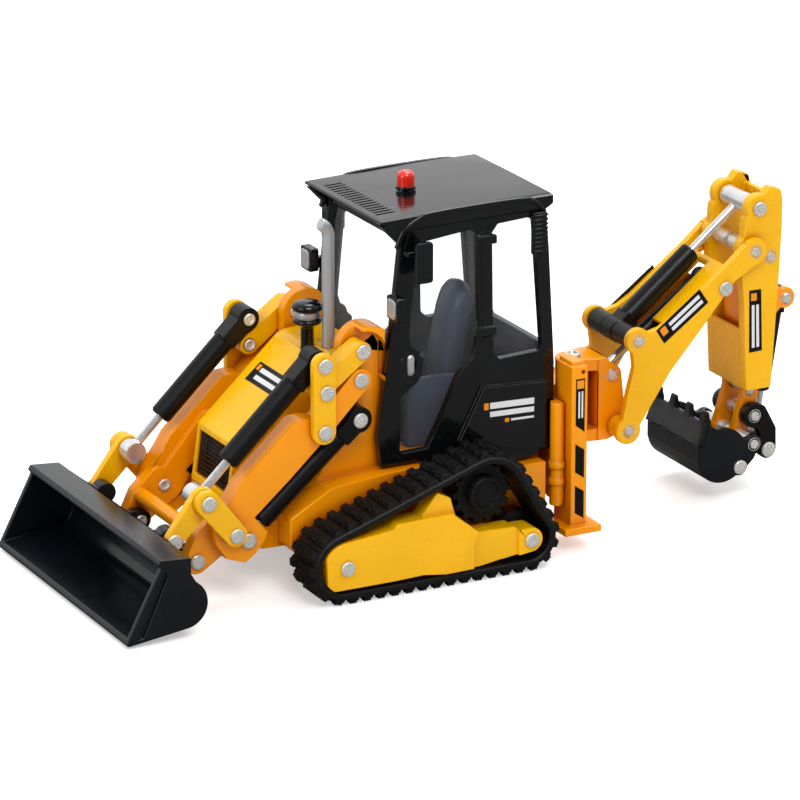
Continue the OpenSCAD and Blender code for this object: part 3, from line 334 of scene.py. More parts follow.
def belt_loop(side):
    """Pose along the belt's outer face, the loop's length, its ground run, and the CAD belt's box."""
    node = "track_belt_" + side
    low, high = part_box(node)
    rear, front, drive = (pins[name + "_" + side] for name in ("rear_idler", "front_idler", "sprocket"))
    radii = [rear.z - low.z, front.z - low.z, high.z - drive.z]
    wheels = [(c.x, c.z, r - LUG_HEIGHT) for c, r in zip((rear, front, drive), radii)]
    headings = []
    for i in range(3):
        (ax, az, ar), (bx, bz, br) = wheels[i], wheels[(i + 1) % 3]
        gap = math.hypot(bx - ax, bz - az)
        headings.append(math.atan2(bz - az, bx - ax) + math.asin((ar - br) / gap))
    legs = []
    for i in range(3):
        (ax, az, ar), (bx, bz, br) = wheels[i], wheels[(i + 1) % 3]
        h, after = headings[i], headings[(i + 1) % 3]
        start = (ax + ar * math.sin(h), az - ar * math.cos(h))
        end = (bx + br * math.sin(h), bz - br * math.cos(h))
        legs.append(("run", start, h, math.dist(start, end)))
        legs.append(("arc", (bx, bz, br), h, ((after - h) % (2 * math.pi)) * br))
    total = sum(leg[3] for leg in legs)

    def pose(s):
        s %= total
        for kind, data, h, length in legs:
            if s <= length:
                if kind == "run":
                    return data[0] + s * math.cos(h), data[1] + s * math.sin(h), h
                x, z, r = data
                turned = h + s / r
                return x + r * math.sin(turned), z - r * math.cos(turned), turned
            s -= length
        return legs[0][1][0], legs[0][1][1], headings[0]

    first_run = legs[0][3]
    return pose, total, first_run, low, high


def add_block(bm, pose, s, y0, y1, length, bottom, top, taper):
    """Tapered block on the belt: `length` along the belt at its foot, from y0 to y1 across it."""
    x, z, h = pose(s)
    along, out = Vector((math.cos(h), 0, math.sin(h))), Vector((math.sin(h), 0, -math.cos(h)))
    rings = []
    for level, inset in ((bottom, 0.0), (top, taper)):
        centre = Vector((x, 0, z)) + out * level
        half = length / 2 - inset
        corners = ((-half, y0 + inset), (half, y0 + inset), (half, y1 - inset), (-half, y1 - inset))
        rings.append(add_ring(bm, [centre + along * dx + AXIS_Y * y for dx, y in corners]))
    bm.faces.new(rings[1])
    bm.faces.new(rings[0][::-1])
    bridge(bm, *rings)


def track_belt(side):
    """Rubber belt: a band with rounded rims, under rows of staggered pads."""
    pose, total, first_run, low, high = belt_loop(side)
    inner, outer = (low.y, high.y) if side == "left" else (high.y, low.y)
    across = 1 if outer > inner else -1
    width = abs(outer - inner)

    def y_at(inset):
        return inner + across * inset

    round_edge = 0.25 * MM
    guide = (width * 0.42, width * 0.58)
    section = [
        (0.0, -round_edge), (round_edge, 0.0), (width - round_edge, 0.0), (width, -round_edge),
        (width, -BELT_THICK + round_edge), (width - round_edge, -BELT_THICK),
        (guide[1], -BELT_THICK), (guide[0], -BELT_THICK), (round_edge, -BELT_THICK),
        (0.0, -BELT_THICK + round_edge)]
    bm = bmesh.new()
    rings = []
    for k in range(BELT_STEPS):
        x, z, h = pose(k * total / BELT_STEPS)
        places = [(x + math.sin(h) * up, y_at(y), z - math.cos(h) * up) for y, up in section]
        rings.append(add_ring(bm, places))
    bridge_all(bm, rings + rings[:1])
    pitch = total / LUG_COUNT
    pads = 4
    margin = 0.35 * MM
    pad_width = (width - 2 * margin) / pads
    for k in range(LUG_COUNT):
        s = first_run / 2 + k * pitch
        blocks = [(s, margin, width - margin, 0.7 * pitch, 0.5 * LUG_HEIGHT, 0.2 * MM)]
        for p in range(pads):
            shift = (0.06 if p % 2 else -0.06) * pitch
            edge = 0.0 if p in (0, pads - 1) else 0.14 * MM
            blocks.append((s + shift, margin + p * pad_width + (edge if p else 0.0),
                           margin + (p + 1) * pad_width - (edge if p < pads - 1 else 0.0), 0.56 * pitch,
                           LUG_HEIGHT - 0.2 * MM, 0.2 * MM))
            for ridge in (-0.17, 0.0, 0.17):
                blocks.append((s + shift + ridge * pitch, margin + (p + 0.12) * pad_width,
                               margin + (p + 0.88) * pad_width, 0.1 * pitch, LUG_HEIGHT, 0.07 * MM))
        for place, y0, y1, length, top, taper in blocks:
            ya, yb = sorted((y_at(y0), y_at(y1)))
            add_block(bm, pose, place, ya, yb, length, -0.2 * MM, top, taper)
    bmesh.ops.recalc_face_normals(bm, faces=bm.faces)
    piece = finish_mesh(bm, "rubber_belt_" + side, "tread", "machine", 40)
    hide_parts("track_belt_" + side)


for side in ("left", "right"):
    track_belt(side)


# ---------------------------------------------------------------- rivets

def islands(bm):
    """Groups of vertices that hang together."""
    left = set(bm.verts)
    while left:
        seed = left.pop()
        group, queue = [seed], [seed]
        while queue:
            vert = queue.pop()
            for edge in vert.link_edges:
                other = edge.other_vert(vert)
                if other in left:
                    left.remove(other)
                    group.append(other)
                    queue.append(other)
        yield group


def steps_of(points, centre, axis):
    """[from, to, radius] of each cylinder of a stepped pin."""
    levels = {}
    for p in points:
        flat = p - centre
        flat[axis] = 0
        levels.setdefault(round(p[axis] / MM, 3), set()).add(round(flat.length / MM, 2))
    keys = sorted(levels)
    return [[a, b, max(levels[a] & levels[b], default=0.0)] for a, b in zip(keys, keys[1:])]


def head_profile(base, tip, radius):
    """Flat-domed head from its foot to its tip: [(height, radius)]."""
    tall = tip - base
    return [(base, radius - 0.08), (base + 0.12 * tall, radius), (base + 0.52 * tall, radius),
            (base + 0.76 * tall, radius * 0.955), (base + 0.9 * tall, radius * 0.86),
            (base + 0.985 * tall, radius * 0.6), (tip, 0.0)]


def collar_profile(base, tip, radius):
    """Rolled tubular end with a hollow in its middle."""
    tall = tip - base
    return [(base, radius - 0.04), (base + 0.5 * tall, radius), (base + 0.85 * tall, radius * 0.95),
            (tip, radius * 0.8), (tip - 0.05 * tall, radius * 0.62), (base + 0.1 * tall, radius * 0.45),
            (base, 0.0)]


def pin_profile(steps):
    """Outline of a rivet from its low end to its high end, in mm along and out from its axis."""
    big = 1.15
    parts = []
    low_end = [s for s in steps if s[2] > big and s[0] < steps[0][0] + 0.9]
    high_end = [s for s in steps if s[2] > big and s[1] > steps[-1][1] - 0.9]
    shank = min(s[2] for s in steps)
    low, high = steps[0][0], steps[-1][1]

    def end(pieces, tip):
        base = max(s[1] for s in pieces) if tip == low else min(s[0] for s in pieces)
        radius = max(s[2] for s in pieces)
        make = head_profile if len(pieces) > 1 else collar_profile
        return make(base, tip, radius)

    if low_end:
        parts += end(low_end, low)[::-1] + [(max(s[1] for s in low_end), shank)]
    else:
        parts += [(low, 0.0), (low, shank - 0.1), (low + 0.1, shank)]
    if high_end:
        parts += [(min(s[0] for s in high_end), shank)] + end(high_end, high)
    else:
        parts += [(high - 0.1, shank), (high, shank - 0.1), (high, 0.0)]
    return parts


def lathe(bm, profile, centre, axis, sides=40):
    """Turns a profile given in mm about an axis through centre."""
    other = [i for i in range(3) if i != axis]
    rings = []
    for height, radius in profile:
        if radius < 1e-6:
            place = centre.copy()
            place[axis] = height * MM
            rings.append([bm.verts.new(place)])
            continue
        ring = []
        for k in range(sides):
            turn = 2 * math.pi * k / sides
            place = centre.copy()
            place[axis] = height * MM
            place[other[0]] += radius * MM * math.cos(turn)
            place[other[1]] += radius * MM * math.sin(turn)
            ring.append(bm.verts.new(place))
        rings.append(ring)
    for here, after in zip(rings, rings[1:]):
        for k in range(sides):
            j = (k + 1) % sides
            corners = [here[k % len(here)], here[j % len(here)], after[j % len(after)], after[k % len(after)]]
            unique = list(dict.fromkeys(corners))
            if len(unique) > 2:
                bm.faces.new(unique)


def rivets(node):
    """Each pin of a rivet node turned again with a flat-domed head and a hollow rolled end."""
    source = clean_copy(node)
    bm = bmesh.new()
    for group in islands(source):
        points = [v.co.copy() for v in group]
        low = Vector(map(min, zip(*points)))
        high = Vector(map(max, zip(*points)))
        size = high - low
        axis = 2 if abs(size.x - size.y) < 0.01 * MM and size.z > size.x else 1
        lathe(bm, pin_profile(steps_of(points, (low + high) / 2, axis)), (low + high) / 2, axis)
    source.free()
    bmesh.ops.recalc_face_normals(bm, faces=bm.faces)
    piece = finish_mesh(bm, node + "_turned", "rivet_nickel", body_of[node], 50)
    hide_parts(node)


RIVET_NODES = ["chassis_rivets", "rear_lever_rivets", "crowd_ram_rivets", "front_lever_rivets",
               "tipping_rivets", "bucket_rivets", "post_rivets", "boom_rivets", "dipper_rivets",
               "extension_rivets", "link_rivet"]
for node in RIVET_NODES:
    rivets(node)


# ---------------------------------------------------------------- labels and trim

PATCH_LIFT = 0.05 * MM
DARK, WHITE, ORANGE = 0, 1, 2


def machine_point(x, z):
    """Packed (x, z) of a place given in mm in the machine's own frame."""
    return origin_x + x * MM, z * MM


def label_piece(bm, name, body):
    """Patches whose material indices are DARK, WHITE and ORANGE."""
    bmesh.ops.recalc_face_normals(bm, faces=bm.faces)
    piece = finish_mesh(bm, name, "ram_black", body)
    piece.data.materials.append(MATERIALS["label_white"])
    piece.data.materials.append(MATERIALS["label_orange"])


def flat_patch(bm, outline, plane, lift, material_index=0):
    """Thin raised patch on the side plane y = plane; outline in mm as (x, z) in the machine's own frame."""
    side = 1 if plane > 0 else -1
    base = []
    for x, z in outline:
        place_x, place_z = machine_point(x, z)
        base.append(bm.verts.new((place_x, plane, place_z)))
    top = add_ring(bm, [v.co + Vector((0, side * lift, 0)) for v in base])
    faces = [bm.faces.new(top), bm.faces.new(base[::-1])] + bridge(bm, base, top)
    for face in faces:
        face.material_index = material_index


def quad_part(corners, u0, u1, v0, v1):
    """Part of a four-cornered patch: u runs along its first edge, v towards its last."""
    a, b, c, d = (Vector(p) for p in corners)

    def at(u, v):
        return tuple(a.lerp(b, u).lerp(d.lerp(c, u), v))

    return [at(u0, v0), at(u1, v0), at(u1, v1), at(u0, v1)]


def side_label(name, corners, plane, body, dark, marks):
    """Label on both sides: a dark patch, an orange square and plain pale bars, with no lettering."""
    bm = bmesh.new()
    for y in (plane, -plane):
        if dark:
            flat_patch(bm, corners, y, PATCH_LIFT)
        for index, (u0, u1, v0, v1) in marks:
            flat_patch(bm, quad_part(corners, u0, u1, v0, v1), y, 2 * PATCH_LIFT, index)
    label_piece(bm, name, body)


LABEL_MARKS = [(ORANGE, (0.05, 0.17, 0.14, 0.62)), (WHITE, (0.24, 0.93, 0.2, 0.42)),
               (WHITE, (0.24, 0.93, 0.56, 0.78))]


def labels():
    """Blank labels on the boom, the dipper and the cab's side panels."""
    boom_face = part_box("boom")[1].y
    dipper_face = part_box("dipper")[1].y
    panel_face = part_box("cab_frame")[1].y
    side_label("boom_labels", [(-59.9, 38.5), (-69.8, 45.8), (-71.9, 42.7), (-61.8, 35.5)], boom_face, "boom",
               True, LABEL_MARKS)
    side_label("dipper_labels", [(-82.6, 43.1), (-82.9, 29.9), (-85.9, 30.0), (-85.4, 43.1)], dipper_face,
               "dipper", True, LABEL_MARKS)
    side_label("cab_labels", [(-16.5, 32.2), (-27.7, 31.8), (-27.7, 27.3), (-16.5, 27.6)], panel_face,
               "machine", False,
               [(ORANGE, (0.0, 0.09, 0.02, 0.32)), (WHITE, (0.12, 1.0, 0.02, 0.3)),
                (WHITE, (0.12, 1.0, 0.42, 0.66)), (ORANGE, (0.42, 0.5, 0.8, 0.98)),
                (WHITE, (0.54, 1.0, 0.84, 0.94))])


def bonnet_label():
    """Dark label with plain bars on the bonnet's slope."""
    crest_x, crest_z = machine_point(15.6, 43.9)
    brow_x, brow_z = machine_point(33.3, 28.4)
    crest, brow = Vector((crest_x, 0, crest_z)), Vector((brow_x, 0, brow_z))
    down = (brow - crest).normalized()
    across = Vector((0, -1, 0))
    out = across.cross(down)
    if out.z < 0:
        out = -out
    corner = crest + down * 6.6 * MM
    sunk = 0.02 * MM
    bm = bmesh.new()

    def patch(y0, y1, d0, d1, lift, index):
        corners = ((y0, d0), (y1, d0), (y1, d1), (y0, d1))
        base = [corner + across * -y * MM + down * d * MM for y, d in corners]
        low = add_ring(bm, [v - out * sunk for v in base])
        top = add_ring(bm, [v + out * lift for v in base])
        faces = [bm.faces.new(top), bm.faces.new(low[::-1])] + bridge(bm, low, top)
        for face in faces:
            face.material_index = index

    patch(-6.2, 6.2, 0.0, 4.6, PATCH_LIFT, DARK)
    patch(-5.6, -4.5, 0.5, 1.8, 2 * PATCH_LIFT, ORANGE)
    patch(-3.9, 5.4, 0.9, 1.9, 2 * PATCH_LIFT, WHITE)
    patch(-3.9, 5.4, 2.7, 3.7, 2 * PATCH_LIFT, WHITE)
    label_piece(bm, "bonnet_label", "machine")


def nickel_heads():
    """Domed heads over the pins that are cast into the arms, the tipping links and the tipping levers."""
    rods_low, rods_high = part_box("lift_ram_rods")
    links_low, links_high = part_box("tipping_links")
    levers_low, levers_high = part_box("tipping_levers")
    cast_head = 0.62 * MM
    arm_outer = links_high.y - cast_head
    lift_eye, link_end, lever_end = 1.5 * MM, 1.8 * MM, 2.0 * MM
    head = [(0.03, 0.0), (0.03, 1.45)] + head_profile(0.05, 0.72, 1.58)
    places = [
        ("lift_pin_heads", "arms", rods_high.x - lift_eye, rods_low.z + lift_eye, arm_outer),
        ("link_pin_heads", "tipping_links", links_high.x - link_end, links_low.z + link_end, arm_outer),
        ("lever_pin_heads", "tipping_levers", levers_low.x + lever_end, levers_low.z + lever_end,
         levers_high.y - 0.6 * MM)]
    for name, body, x, z, outer in places:
        bm = bmesh.new()
        for side in (1, -1):
            lathe(bm, [((outer / MM + h) * side, r) for h, r in head], Vector((x, 0, z)), 1)
        bmesh.ops.recalc_face_normals(bm, faces=bm.faces)
        finish_mesh(bm, name, "rivet_nickel", body, 50)


def boom_web():
    """Thin lower web inside the boom's box, in two strips that leave the ram its slot."""
    line = [(-63.8, 30.6), (-68.0, 35.3), (-72.1, 39.9), (-75.9, 44.2)]
    outer, slot, thick = 7.9 * MM, 2.3 * MM, 0.7
    bm = bmesh.new()
    for side in (1, -1):
        rings = []
        for i, (x, z) in enumerate(line):
            before, after = line[max(i - 1, 0)], line[min(i + 1, len(line) - 1)]
            along = Vector((after[0] - before[0], after[1] - before[1])).normalized()
            places = []
            for y, step in ((slot, 0), (outer, 0), (outer, thick), (slot, thick)):
                place_x, place_z = machine_point(x + along.y * step, z - along.x * step)
                places.append((place_x, side * y, place_z))
            rings.append(add_ring(bm, places))
        bridge_all(bm, rings)
        bm.faces.new(rings[0][::-1])
        bm.faces.new(rings[-1])
    bmesh.ops.recalc_face_normals(bm, faces=bm.faces)
    finish_mesh(bm, "boom_web", "yellow_plastic", "boom", 50)


def sprocket_caps():
    """Hub ring of each drive sprocket with a dished middle and a circle of small bolts."""
    cap = [(-0.4, 0.0), (-0.4, 3.5), (0.5, 3.5), (0.65, 3.35), (0.65, 2.75), (0.35, 2.6), (0.35, 0.0)]
    bolt = [(0.3, 0.0), (0.3, 0.26), (0.55, 0.26), (0.6, 0.2), (0.6, 0.0)]
    bolt_count, bolt_circle = 10, 2.1 * MM
    for side, sign in (("left", 1), ("right", -1)):
        low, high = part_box("sprocket_" + side)
        face = (high.y if side == "left" else -low.y) / MM
        pin = pins["sprocket_" + side]
        centre = Vector((pin.x, 0, pin.z))
        bm = bmesh.new()
        lathe(bm, [((face + h) * sign, r) for h, r in cap], centre, 1)
        for k in range(bolt_count):
            turn = 2 * math.pi * k / bolt_count
            place = centre + Vector((math.cos(turn), 0, math.sin(turn))) * bolt_circle
            lathe(bm, [((face + h) * sign, r) for h, r in bolt], place, 1, 10)
        bmesh.ops.recalc_face_normals(bm, faces=bm.faces)
        finish_mesh(bm, "sprocket_cap_" + side, "wheel_plastic", "sprocket_" + side, 40)


def beacon():
    """Red lens with a domed top on a thin dark base."""
    low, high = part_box("beacon")
    centre = (low + high) / 2
    top = high.z / MM
    base = top - 3.27
    radius, rounding = 1.75, 1.2
    bm = bmesh.new()
    dome = [(top - rounding + rounding * math.sin(math.radians(a)),
             radius - rounding + rounding * math.cos(math.radians(a))) for a in range(0, 91, 10)]
    lathe(bm, [(base, 0.0), (base, radius)] + dome + [(top, 0.0)], centre, 2, 48)
    bmesh.ops.recalc_face_normals(bm, faces=bm.faces)
    lens = finish_mesh(bm, "beacon_lens", "beacon_red", "machine", 60)
    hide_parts("beacon")
    bm = bmesh.new()
    lathe(bm, [(base - 0.4, 0.0), (base - 0.4, radius + 0.25), (base + 0.1, radius + 0.25),
               (base + 0.25, radius + 0.1), (base + 0.25, 0.0)], centre, 2, 48)
    bmesh.ops.recalc_face_normals(bm, faces=bm.faces)
    finish_mesh(bm, "beacon_base", "black_plastic", "machine", 40)


def seat():
    """Moulded seat: cushion, tall backrest with a round top, and two side consoles."""
    floor_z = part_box("seat")[0].z
    bm = bmesh.new()
    tilt = math.radians(12)
    up = Vector((-math.sin(tilt), 0, math.cos(tilt)))
    ahead = Vector((math.cos(tilt), 0, math.sin(tilt)))
    back_x, back_z = machine_point(-18.4, 41.6)
    back = Vector((back_x, 0, back_z))
    crowned_plate(bm, rounded_outline(9.4, 21.6, 4.2, 8), back, AXIS_Y, up, ahead, 2.2, 0.5)
    crowned_plate(bm, rounded_outline(9.0, 21.0, 4.2, 8), back, AXIS_Y, up, -ahead, 1.0, 0.3)
    cushion_x, cushion_z = machine_point(-9.4, 29.0)
    cushion = Vector((cushion_x, 0, cushion_z))
    crowned_plate(bm, rounded_outline(12.0, 9.6, 2.2, 6), cushion, AXIS_X, AXIS_Y, AXIS_Z, 2.3, 0.25)
    base, console = (-20.4, -3.2, 29.2), (-17.6, -4.4, 35.8)
    crown = 0.05
    for y0, y1, (x0, x1, top) in ((-4.6, 4.6, base), (5.6, 8.2, console), (-8.2, -5.6, console)):
        rear_x, top_z = machine_point(x0, top)
        front_x, _ = machine_point(x1, top)
        centre = Vector(((rear_x + front_x) / 2, (y0 + y1) / 2 * MM, floor_z))
        crowned_plate(bm, rounded_outline((front_x - rear_x) / MM, y1 - y0, 0.9, 5), centre, AXIS_X, AXIS_Y,
                      AXIS_Z, (top_z - floor_z) / MM / (1 + crown), crown)
    bmesh.ops.recalc_face_normals(bm, faces=bm.faces)
    piece = finish_mesh(bm, "operator_seat", "seat_grey", "machine", 50)
    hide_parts("seat")


def stabiliser_marks(side):
    """Warning stripes and a blank label on the outer face of one leg."""
    leg_outer = 22.0 * MM
    plane = leg_outer if side == "left" else -leg_outer
    bm = bmesh.new()
    front, back, slant = -34.5, -36.5, 1.4
    flat_patch(bm, [(front, 35.7), (back, 35.7), (back, 24.6), (front, 26.2)], plane, PATCH_LIFT)
    for top, bottom in ((22.3, 16.4), (13.6, 7.9)):
        flat_patch(bm, [(front, top), (back, top - slant), (back, bottom - slant), (front, bottom)], plane,
                   PATCH_LIFT)
    flat_patch(bm, [(front - 0.2, 35.4), (back + 0.2, 35.4), (back + 0.2, 33.7), (front - 0.2, 33.7)], plane,
               2 * PATCH_LIFT, ORANGE)
    for u in (0.55, 1.25):
        flat_patch(bm, [(front - u, 33.1), (front - u - 0.35, 33.1), (front - u - 0.35, 27.6),
                        (front - u, 27.6)], plane, 2 * PATCH_LIFT, WHITE)
    label_piece(bm, "stabiliser_marks_" + side, "stabiliser_" + side)


def rounded_outline(width, height, radius, steps=6):
    """Rounded rectangle about the origin, as (across, up) pairs."""
    points = []
    for cx, cy, start in ((1, 1, 0), (-1, 1, 90), (-1, -1, 180), (1, -1, 270)):
        for k in range(steps + 1):
            turn = math.radians(start + 90 * k / steps)
            points.append((cx * (width / 2 - radius) + radius * math.cos(turn),
                           cy * (height / 2 - radius) + radius * math.sin(turn)))
    return points


def crowned_plate(bm, outline, centre, right, up, out, thick, crown=0.25):
    """Plate with a raised middle: the outline in mm is drawn on the right and up vectors."""
    rings = []
    for share, level in ((1.0, 0.0), (1.0, 0.6), (0.93, 0.9), (0.7, 1.0 + crown * 0.6), (0.35, 1.0 + crown)):
        rings.append(add_ring(bm, [centre + right * x * share * MM + up * y * share * MM
                                   + out * level * thick * MM for x, y in outline]))
    bridge_all(bm, rings)
    bm.faces.new(rings[-1])
    bm.faces.new(rings[0][::-1])


def tube(bm, path, radius, sides=14):
    """Round tube along a list of places, with domed ends."""
    frames = []
    for i, place in enumerate(path):
        before = path[max(i - 1, 0)]
        after = path[min(i + 1, len(path) - 1)]
        frames.append((place, (after - before).normalized()))
    side = frames[0][1].orthogonal().normalized()
    turns = [2 * math.pi * k / sides for k in range(sides)]
    rings = []
    for place, along in frames:
        side = (side - along * side.dot(along)).normalized()
        other = along.cross(side)
        spokes = [side * math.cos(t) + other * math.sin(t) for t in turns]
        rings.append(add_ring(bm, [place + spoke * radius for spoke in spokes]))
    bridge_all(bm, rings)
    for ring, (place, along), sign in ((rings[0], frames[0], -1), (rings[-1], frames[-1], 1)):
        tip = bm.verts.new(place + along * radius * 0.6 * sign)
        for i in range(sides):
            j = (i + 1) % sides
            bm.faces.new((ring[i], ring[j], tip) if sign > 0 else (ring[j], ring[i], tip))


def smooth_path(points, steps=6):
    """Catmull-Rom curve through points."""
    out = []
    ends = [points[0]] + points + [points[-1]]
    for i in range(1, len(ends) - 2):
        a, b, c, d = ends[i - 1:i + 3]
        for k in range(steps):
            t = k / steps
            out.append(0.5 * (2 * b + (c - a) * t + (2 * a - 5 * b + 4 * c - d) * t * t
                              + (3 * b - a - 3 * c + d) * t ** 3))
    out.append(points[-1])
    return out


def side_path(points, y):
    """Smooth path on the plane y through places given in mm in the machine's own frame."""
    places = []
    for x, z in points:
        place_x, place_z = machine_point(x, z)
        places.append(Vector((place_x, y, place_z)))
    return smooth_path(places)


def cab_trim():
    """Rounded ridge along each side of the roof."""
    roof_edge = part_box("roof")[1].y
    bm = bmesh.new()
    for side in (1, -1):
        tube(bm, side_path([(2.2, 66.2), (0.6, 69.4), (-2.4, 71.4), (-7, 72.1), (-24, 72.3), (-28, 71.5),
                            (-29.8, 69.8)], side * (roof_edge - 0.1 * MM)), 0.5 * MM)
    finish_mesh(bm, "roof_ridges", "black_plastic", "machine", 60)


def lamp_faces():
    """Silver lamp lenses, mirror glasses and door handles, and the dark dishes around the handles."""
    bm = bmesh.new()
    lamp_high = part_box("work_lamps")[1]
    mirror_low, mirror_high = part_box("cab_mirrors")
    lamp_y, lamp_z = lamp_high.y - 2.3 * MM, 55.0 * MM
    glass_y, glass_z = mirror_high.y - 1.8 * MM, 63.7 * MM
    handle_x, handle_z = machine_point(-0.9, 42.0)
    door_y, sunk = 15.6 * MM, 0.02 * MM
    for side in (1, -1):
        across = AXIS_Y * side
        centre = Vector((lamp_high.x - sunk, side * lamp_y, lamp_z))
        crowned_plate(bm, rounded_outline(3.6, 3.9, 1.1), centre, across, AXIS_Z, AXIS_X, 0.3)
        centre = Vector((mirror_low.x + sunk, side * glass_y, glass_z))
        crowned_plate(bm, rounded_outline(2.7, 7.0, 0.9), centre, across, AXIS_Z, -AXIS_X, 0.15)
        centre = Vector((handle_x, side * door_y, handle_z))
        crowned_plate(bm, rounded_outline(1.5, 4.4, 0.74), centre, AXIS_X, AXIS_Z, across, 0.9)
    bmesh.ops.recalc_face_normals(bm, faces=bm.faces)
    finish_mesh(bm, "lamp_faces_and_handles", "silver_plastic", "machine", 50)
    bm = bmesh.new()
    dish = rounded_outline(3.4, 7.2, 1.65, 8)
    dish_z = handle_z - 0.3 * MM
    rim_y, dish_y = 15.7 * MM, 15.0 * MM
    for side in (1, -1):
        rim = [Vector((handle_x + x * MM, side * rim_y, dish_z + z * MM)) for x, z in dish]
        tube(bm, rim + rim[:1], 0.6 * MM, 10)
        crowned_plate(bm, dish, Vector((handle_x, side * dish_y, dish_z)), AXIS_X, AXIS_Z, AXIS_Y * side, 0.6,
                      0.0)
    bmesh.ops.recalc_face_normals(bm, faces=bm.faces)
    finish_mesh(bm, "handle_dishes", "black_plastic", "machine", 60)


def cleaner_band():
    """Bright strap around the air cleaner."""
    low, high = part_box("air_cleaner")
    centre = (low + high) / 2
    bm = bmesh.new()
    lathe(bm, [(50.0, 1.0), (50.0, 2.3), (50.15, 2.42), (51.3, 2.42), (51.5, 2.3), (51.5, 1.0)], centre, 2)
    bmesh.ops.recalc_face_normals(bm, faces=bm.faces)
    finish_mesh(bm, "air_cleaner_band", "silver_plastic", "machine", 40)


def rear_lamp_ribs():
    """Ribs on the outer face and the back edge of each rear lamp cluster."""
    bm = bmesh.new()
    outer, wrap, length = 17.2 * MM, 0.7 * MM, 3.1 * MM
    rib_count, pitch = 9, 0.9
    for side in (1, -1):
        for k in range(rib_count):
            x, z = machine_point(-30.5, 61.6 + k * pitch)
            places = [Vector((x, side * (outer - wrap), z)), Vector((x, side * outer, z)),
                      Vector((x + length, side * outer, z))]
            tube(bm, places, 0.2 * MM, 8)
    finish_mesh(bm, "rear_lamp_ribs", "black_plastic", "machine", 60)


def grille_mesh():
    """Woven screen across the radiator opening."""
    low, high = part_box("front_grille")
    bm = bmesh.new()
    columns, rows = 16, 10
    wire = 0.16 * MM
    for k in range(columns + 1):
        y = low.y + (high.y - low.y) * k / columns
        tube(bm, [Vector((high.x - 0.1 * MM, y, low.z)), Vector((high.x - 1.25 * MM, y, high.z))], wire, 6)
    for k in range(1, rows):
        share = k / rows
        x = high.x - (0.05 + 1.2 * share) * MM
        z = low.z + (high.z - low.z) * share
        tube(bm, [Vector((x, low.y, z)), Vector((x, high.y, z))], wire, 6)
    finish_mesh(bm, "grille_screen", "ram_black", "machine", 60)


labels()
bonnet_label()
nickel_heads()
boom_web()
sprocket_caps()
beacon()
seat()
for side in ("left", "right"):
    stabiliser_marks(side)
cab_trim()
lamp_faces()
cleaner_band()
rear_lamp_ribs()
grille_mesh()


# ---------------------------------------------------------------- stage

def floor():
    """Pale paper floor, shown to the camera a little brighter than it lights the toy, and nearly black to glossy
    rays: a painted darker reflection of the floor in the toy's glossy faces.
    """
    bm = bmesh.new()
    bmesh.ops.create_grid(bm, x_segments=1, y_segments=1, size=6.0)
    mesh = bpy.data.meshes.new("floor")
    bm.to_mesh(mesh)
    bm.free()
    piece = bpy.data.objects.new("floor", mesh)
    bpy.context.scene.collection.objects.link(piece)
    material, tree, shader = new_material("floor_paper")
    paper = object_noise(tree, 40 * MM, 2.0)
    rays = add_node(tree, "ShaderNodeLightPath")
    lit = mix_colour(tree, remap(tree, paper, 0, 1), (0.86, 0.86, 0.86), (0.88, 0.88, 0.88))
    # Painted reflection: glossy rays see the paper nearly black, so the toy's glossy faces reflect a darker floor
    # than the lit paper.
    tree.links.new(mix_colour(tree, rays.outputs["Is Glossy Ray"], lit, (0.16, 0.16, 0.16)),
                   shader.inputs["Base Color"])
    shader.inputs["Roughness"].default_value = 0.7
    shader.inputs["Specular IOR Level"].default_value = 0.2
    shader.inputs["Emission Color"].default_value = (1.0, 1.0, 1.0, 1.0)
    tree.links.new(remap(tree, rays.outputs["Is Camera Ray"], 0.0, 0.42, 0.0, 1.0),
                   shader.inputs["Emission Strength"])
    mesh.materials.append(material)


def area_light(name, place, aim, size, power):
    """Rectangular soft box at a place, turned towards aim."""
    light = bpy.data.lights.new(name, "AREA")
    light.shape = "RECTANGLE"
    light.size = size[0]
    light.size_y = size[1]
    light.energy = power
    lamp = bpy.data.objects.new(name, light)
    lamp.location = place
    lamp.rotation_euler = (aim - place).to_track_quat("-Z", "Y").to_euler()
    bpy.context.scene.collection.objects.link(lamp)


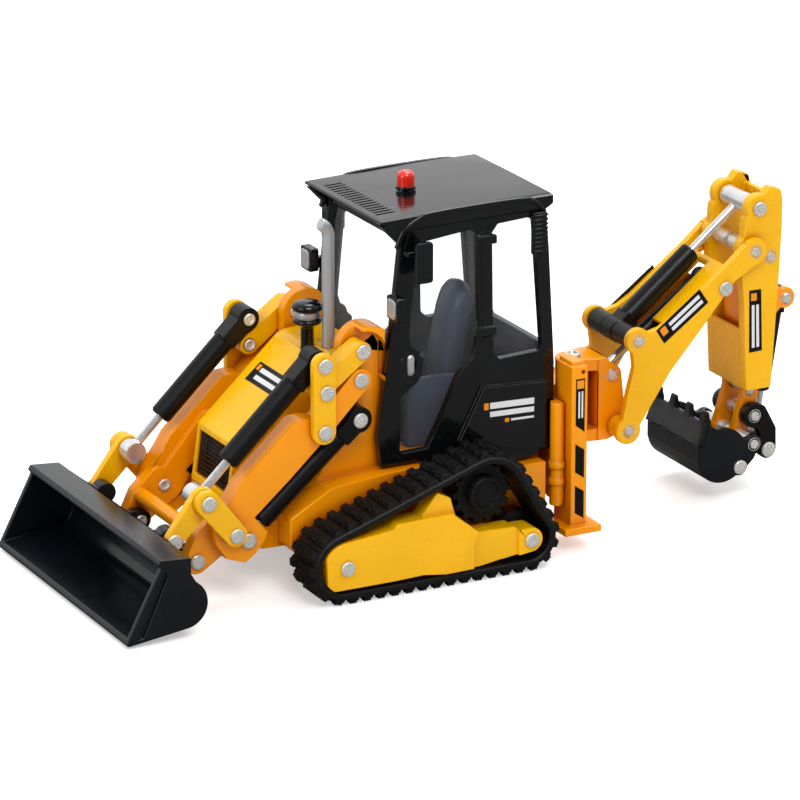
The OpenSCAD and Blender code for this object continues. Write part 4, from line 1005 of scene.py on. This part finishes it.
def studio():
    """Soft boxes: one above and to the left, one ahead, one overhead, in a bright white room."""
    middle = Vector((0, 0, 0.035))
    area_light("key", Vector((0.15, 0.75, 0.9)), middle, (0.55, 0.55), 6.4)
    area_light("ahead", Vector((1.0, 0.25, 0.45)), middle, (0.5, 0.7), 3.8)
    area_light("top", Vector((-0.35, -0.2, 0.95)), middle, (0.7, 0.5), 6.0)
    world = bpy.data.worlds.new("studio")
    bpy.context.scene.world = world
    world.use_nodes = True
    tree = world.node_tree
    background = tree.nodes["Background"]
    background.inputs[0].default_value = (1.0, 1.0, 1.0, 1.0)
    coords = add_node(tree, "ShaderNodeTexCoord")
    behind = add_node(tree, "ShaderNodeVectorMath", {0: coords.outputs["Generated"], 1: (-0.42, -0.82, 0.38)},
                      operation="DOT_PRODUCT")
    glow = remap(tree, behind.outputs["Value"], 0.22, 0.95, -0.3, 0.75)
    rays = add_node(tree, "ShaderNodeLightPath")
    strength = add_node(tree, "ShaderNodeMix", {0: rays.outputs["Is Camera Ray"], 2: glow, 3: 1.0})
    tree.links.new(strength.outputs[0], background.inputs[1])
    bpy.context.scene.view_settings.view_transform = "Standard"


def camera():
    """Long lens from ahead and to the left, a little above the cab."""
    azimuth, elevation, distance = math.radians(27.354), math.radians(18.532), 1.00265
    forward = Vector((-math.sin(azimuth) * math.cos(elevation), -math.cos(azimuth) * math.cos(elevation),
                      -math.sin(elevation)))
    right = Vector((-math.cos(azimuth), math.sin(azimuth), 0))
    up = right.cross(forward)
    aim = Vector((origin_x + 1.0 * MM, 0, 0.75 * MM)) + right * 7.07 * MM + up * 28.13 * MM
    data = bpy.data.cameras.new("camera")
    data.sensor_width = 36.0
    data.lens = 226.64
    view = bpy.data.objects.new("camera", data)
    view.matrix_world = Matrix((
        (right.x, up.x, -forward.x, 0), (right.y, up.y, -forward.y, 0), (right.z, up.z, -forward.z, 0),
        (0, 0, 0, 1)))
    view.location = aim - forward * distance
    bpy.context.scene.collection.objects.link(view)
    bpy.context.scene.camera = view


floor()
studio()
camera()

bpy.context.view_layer.update()
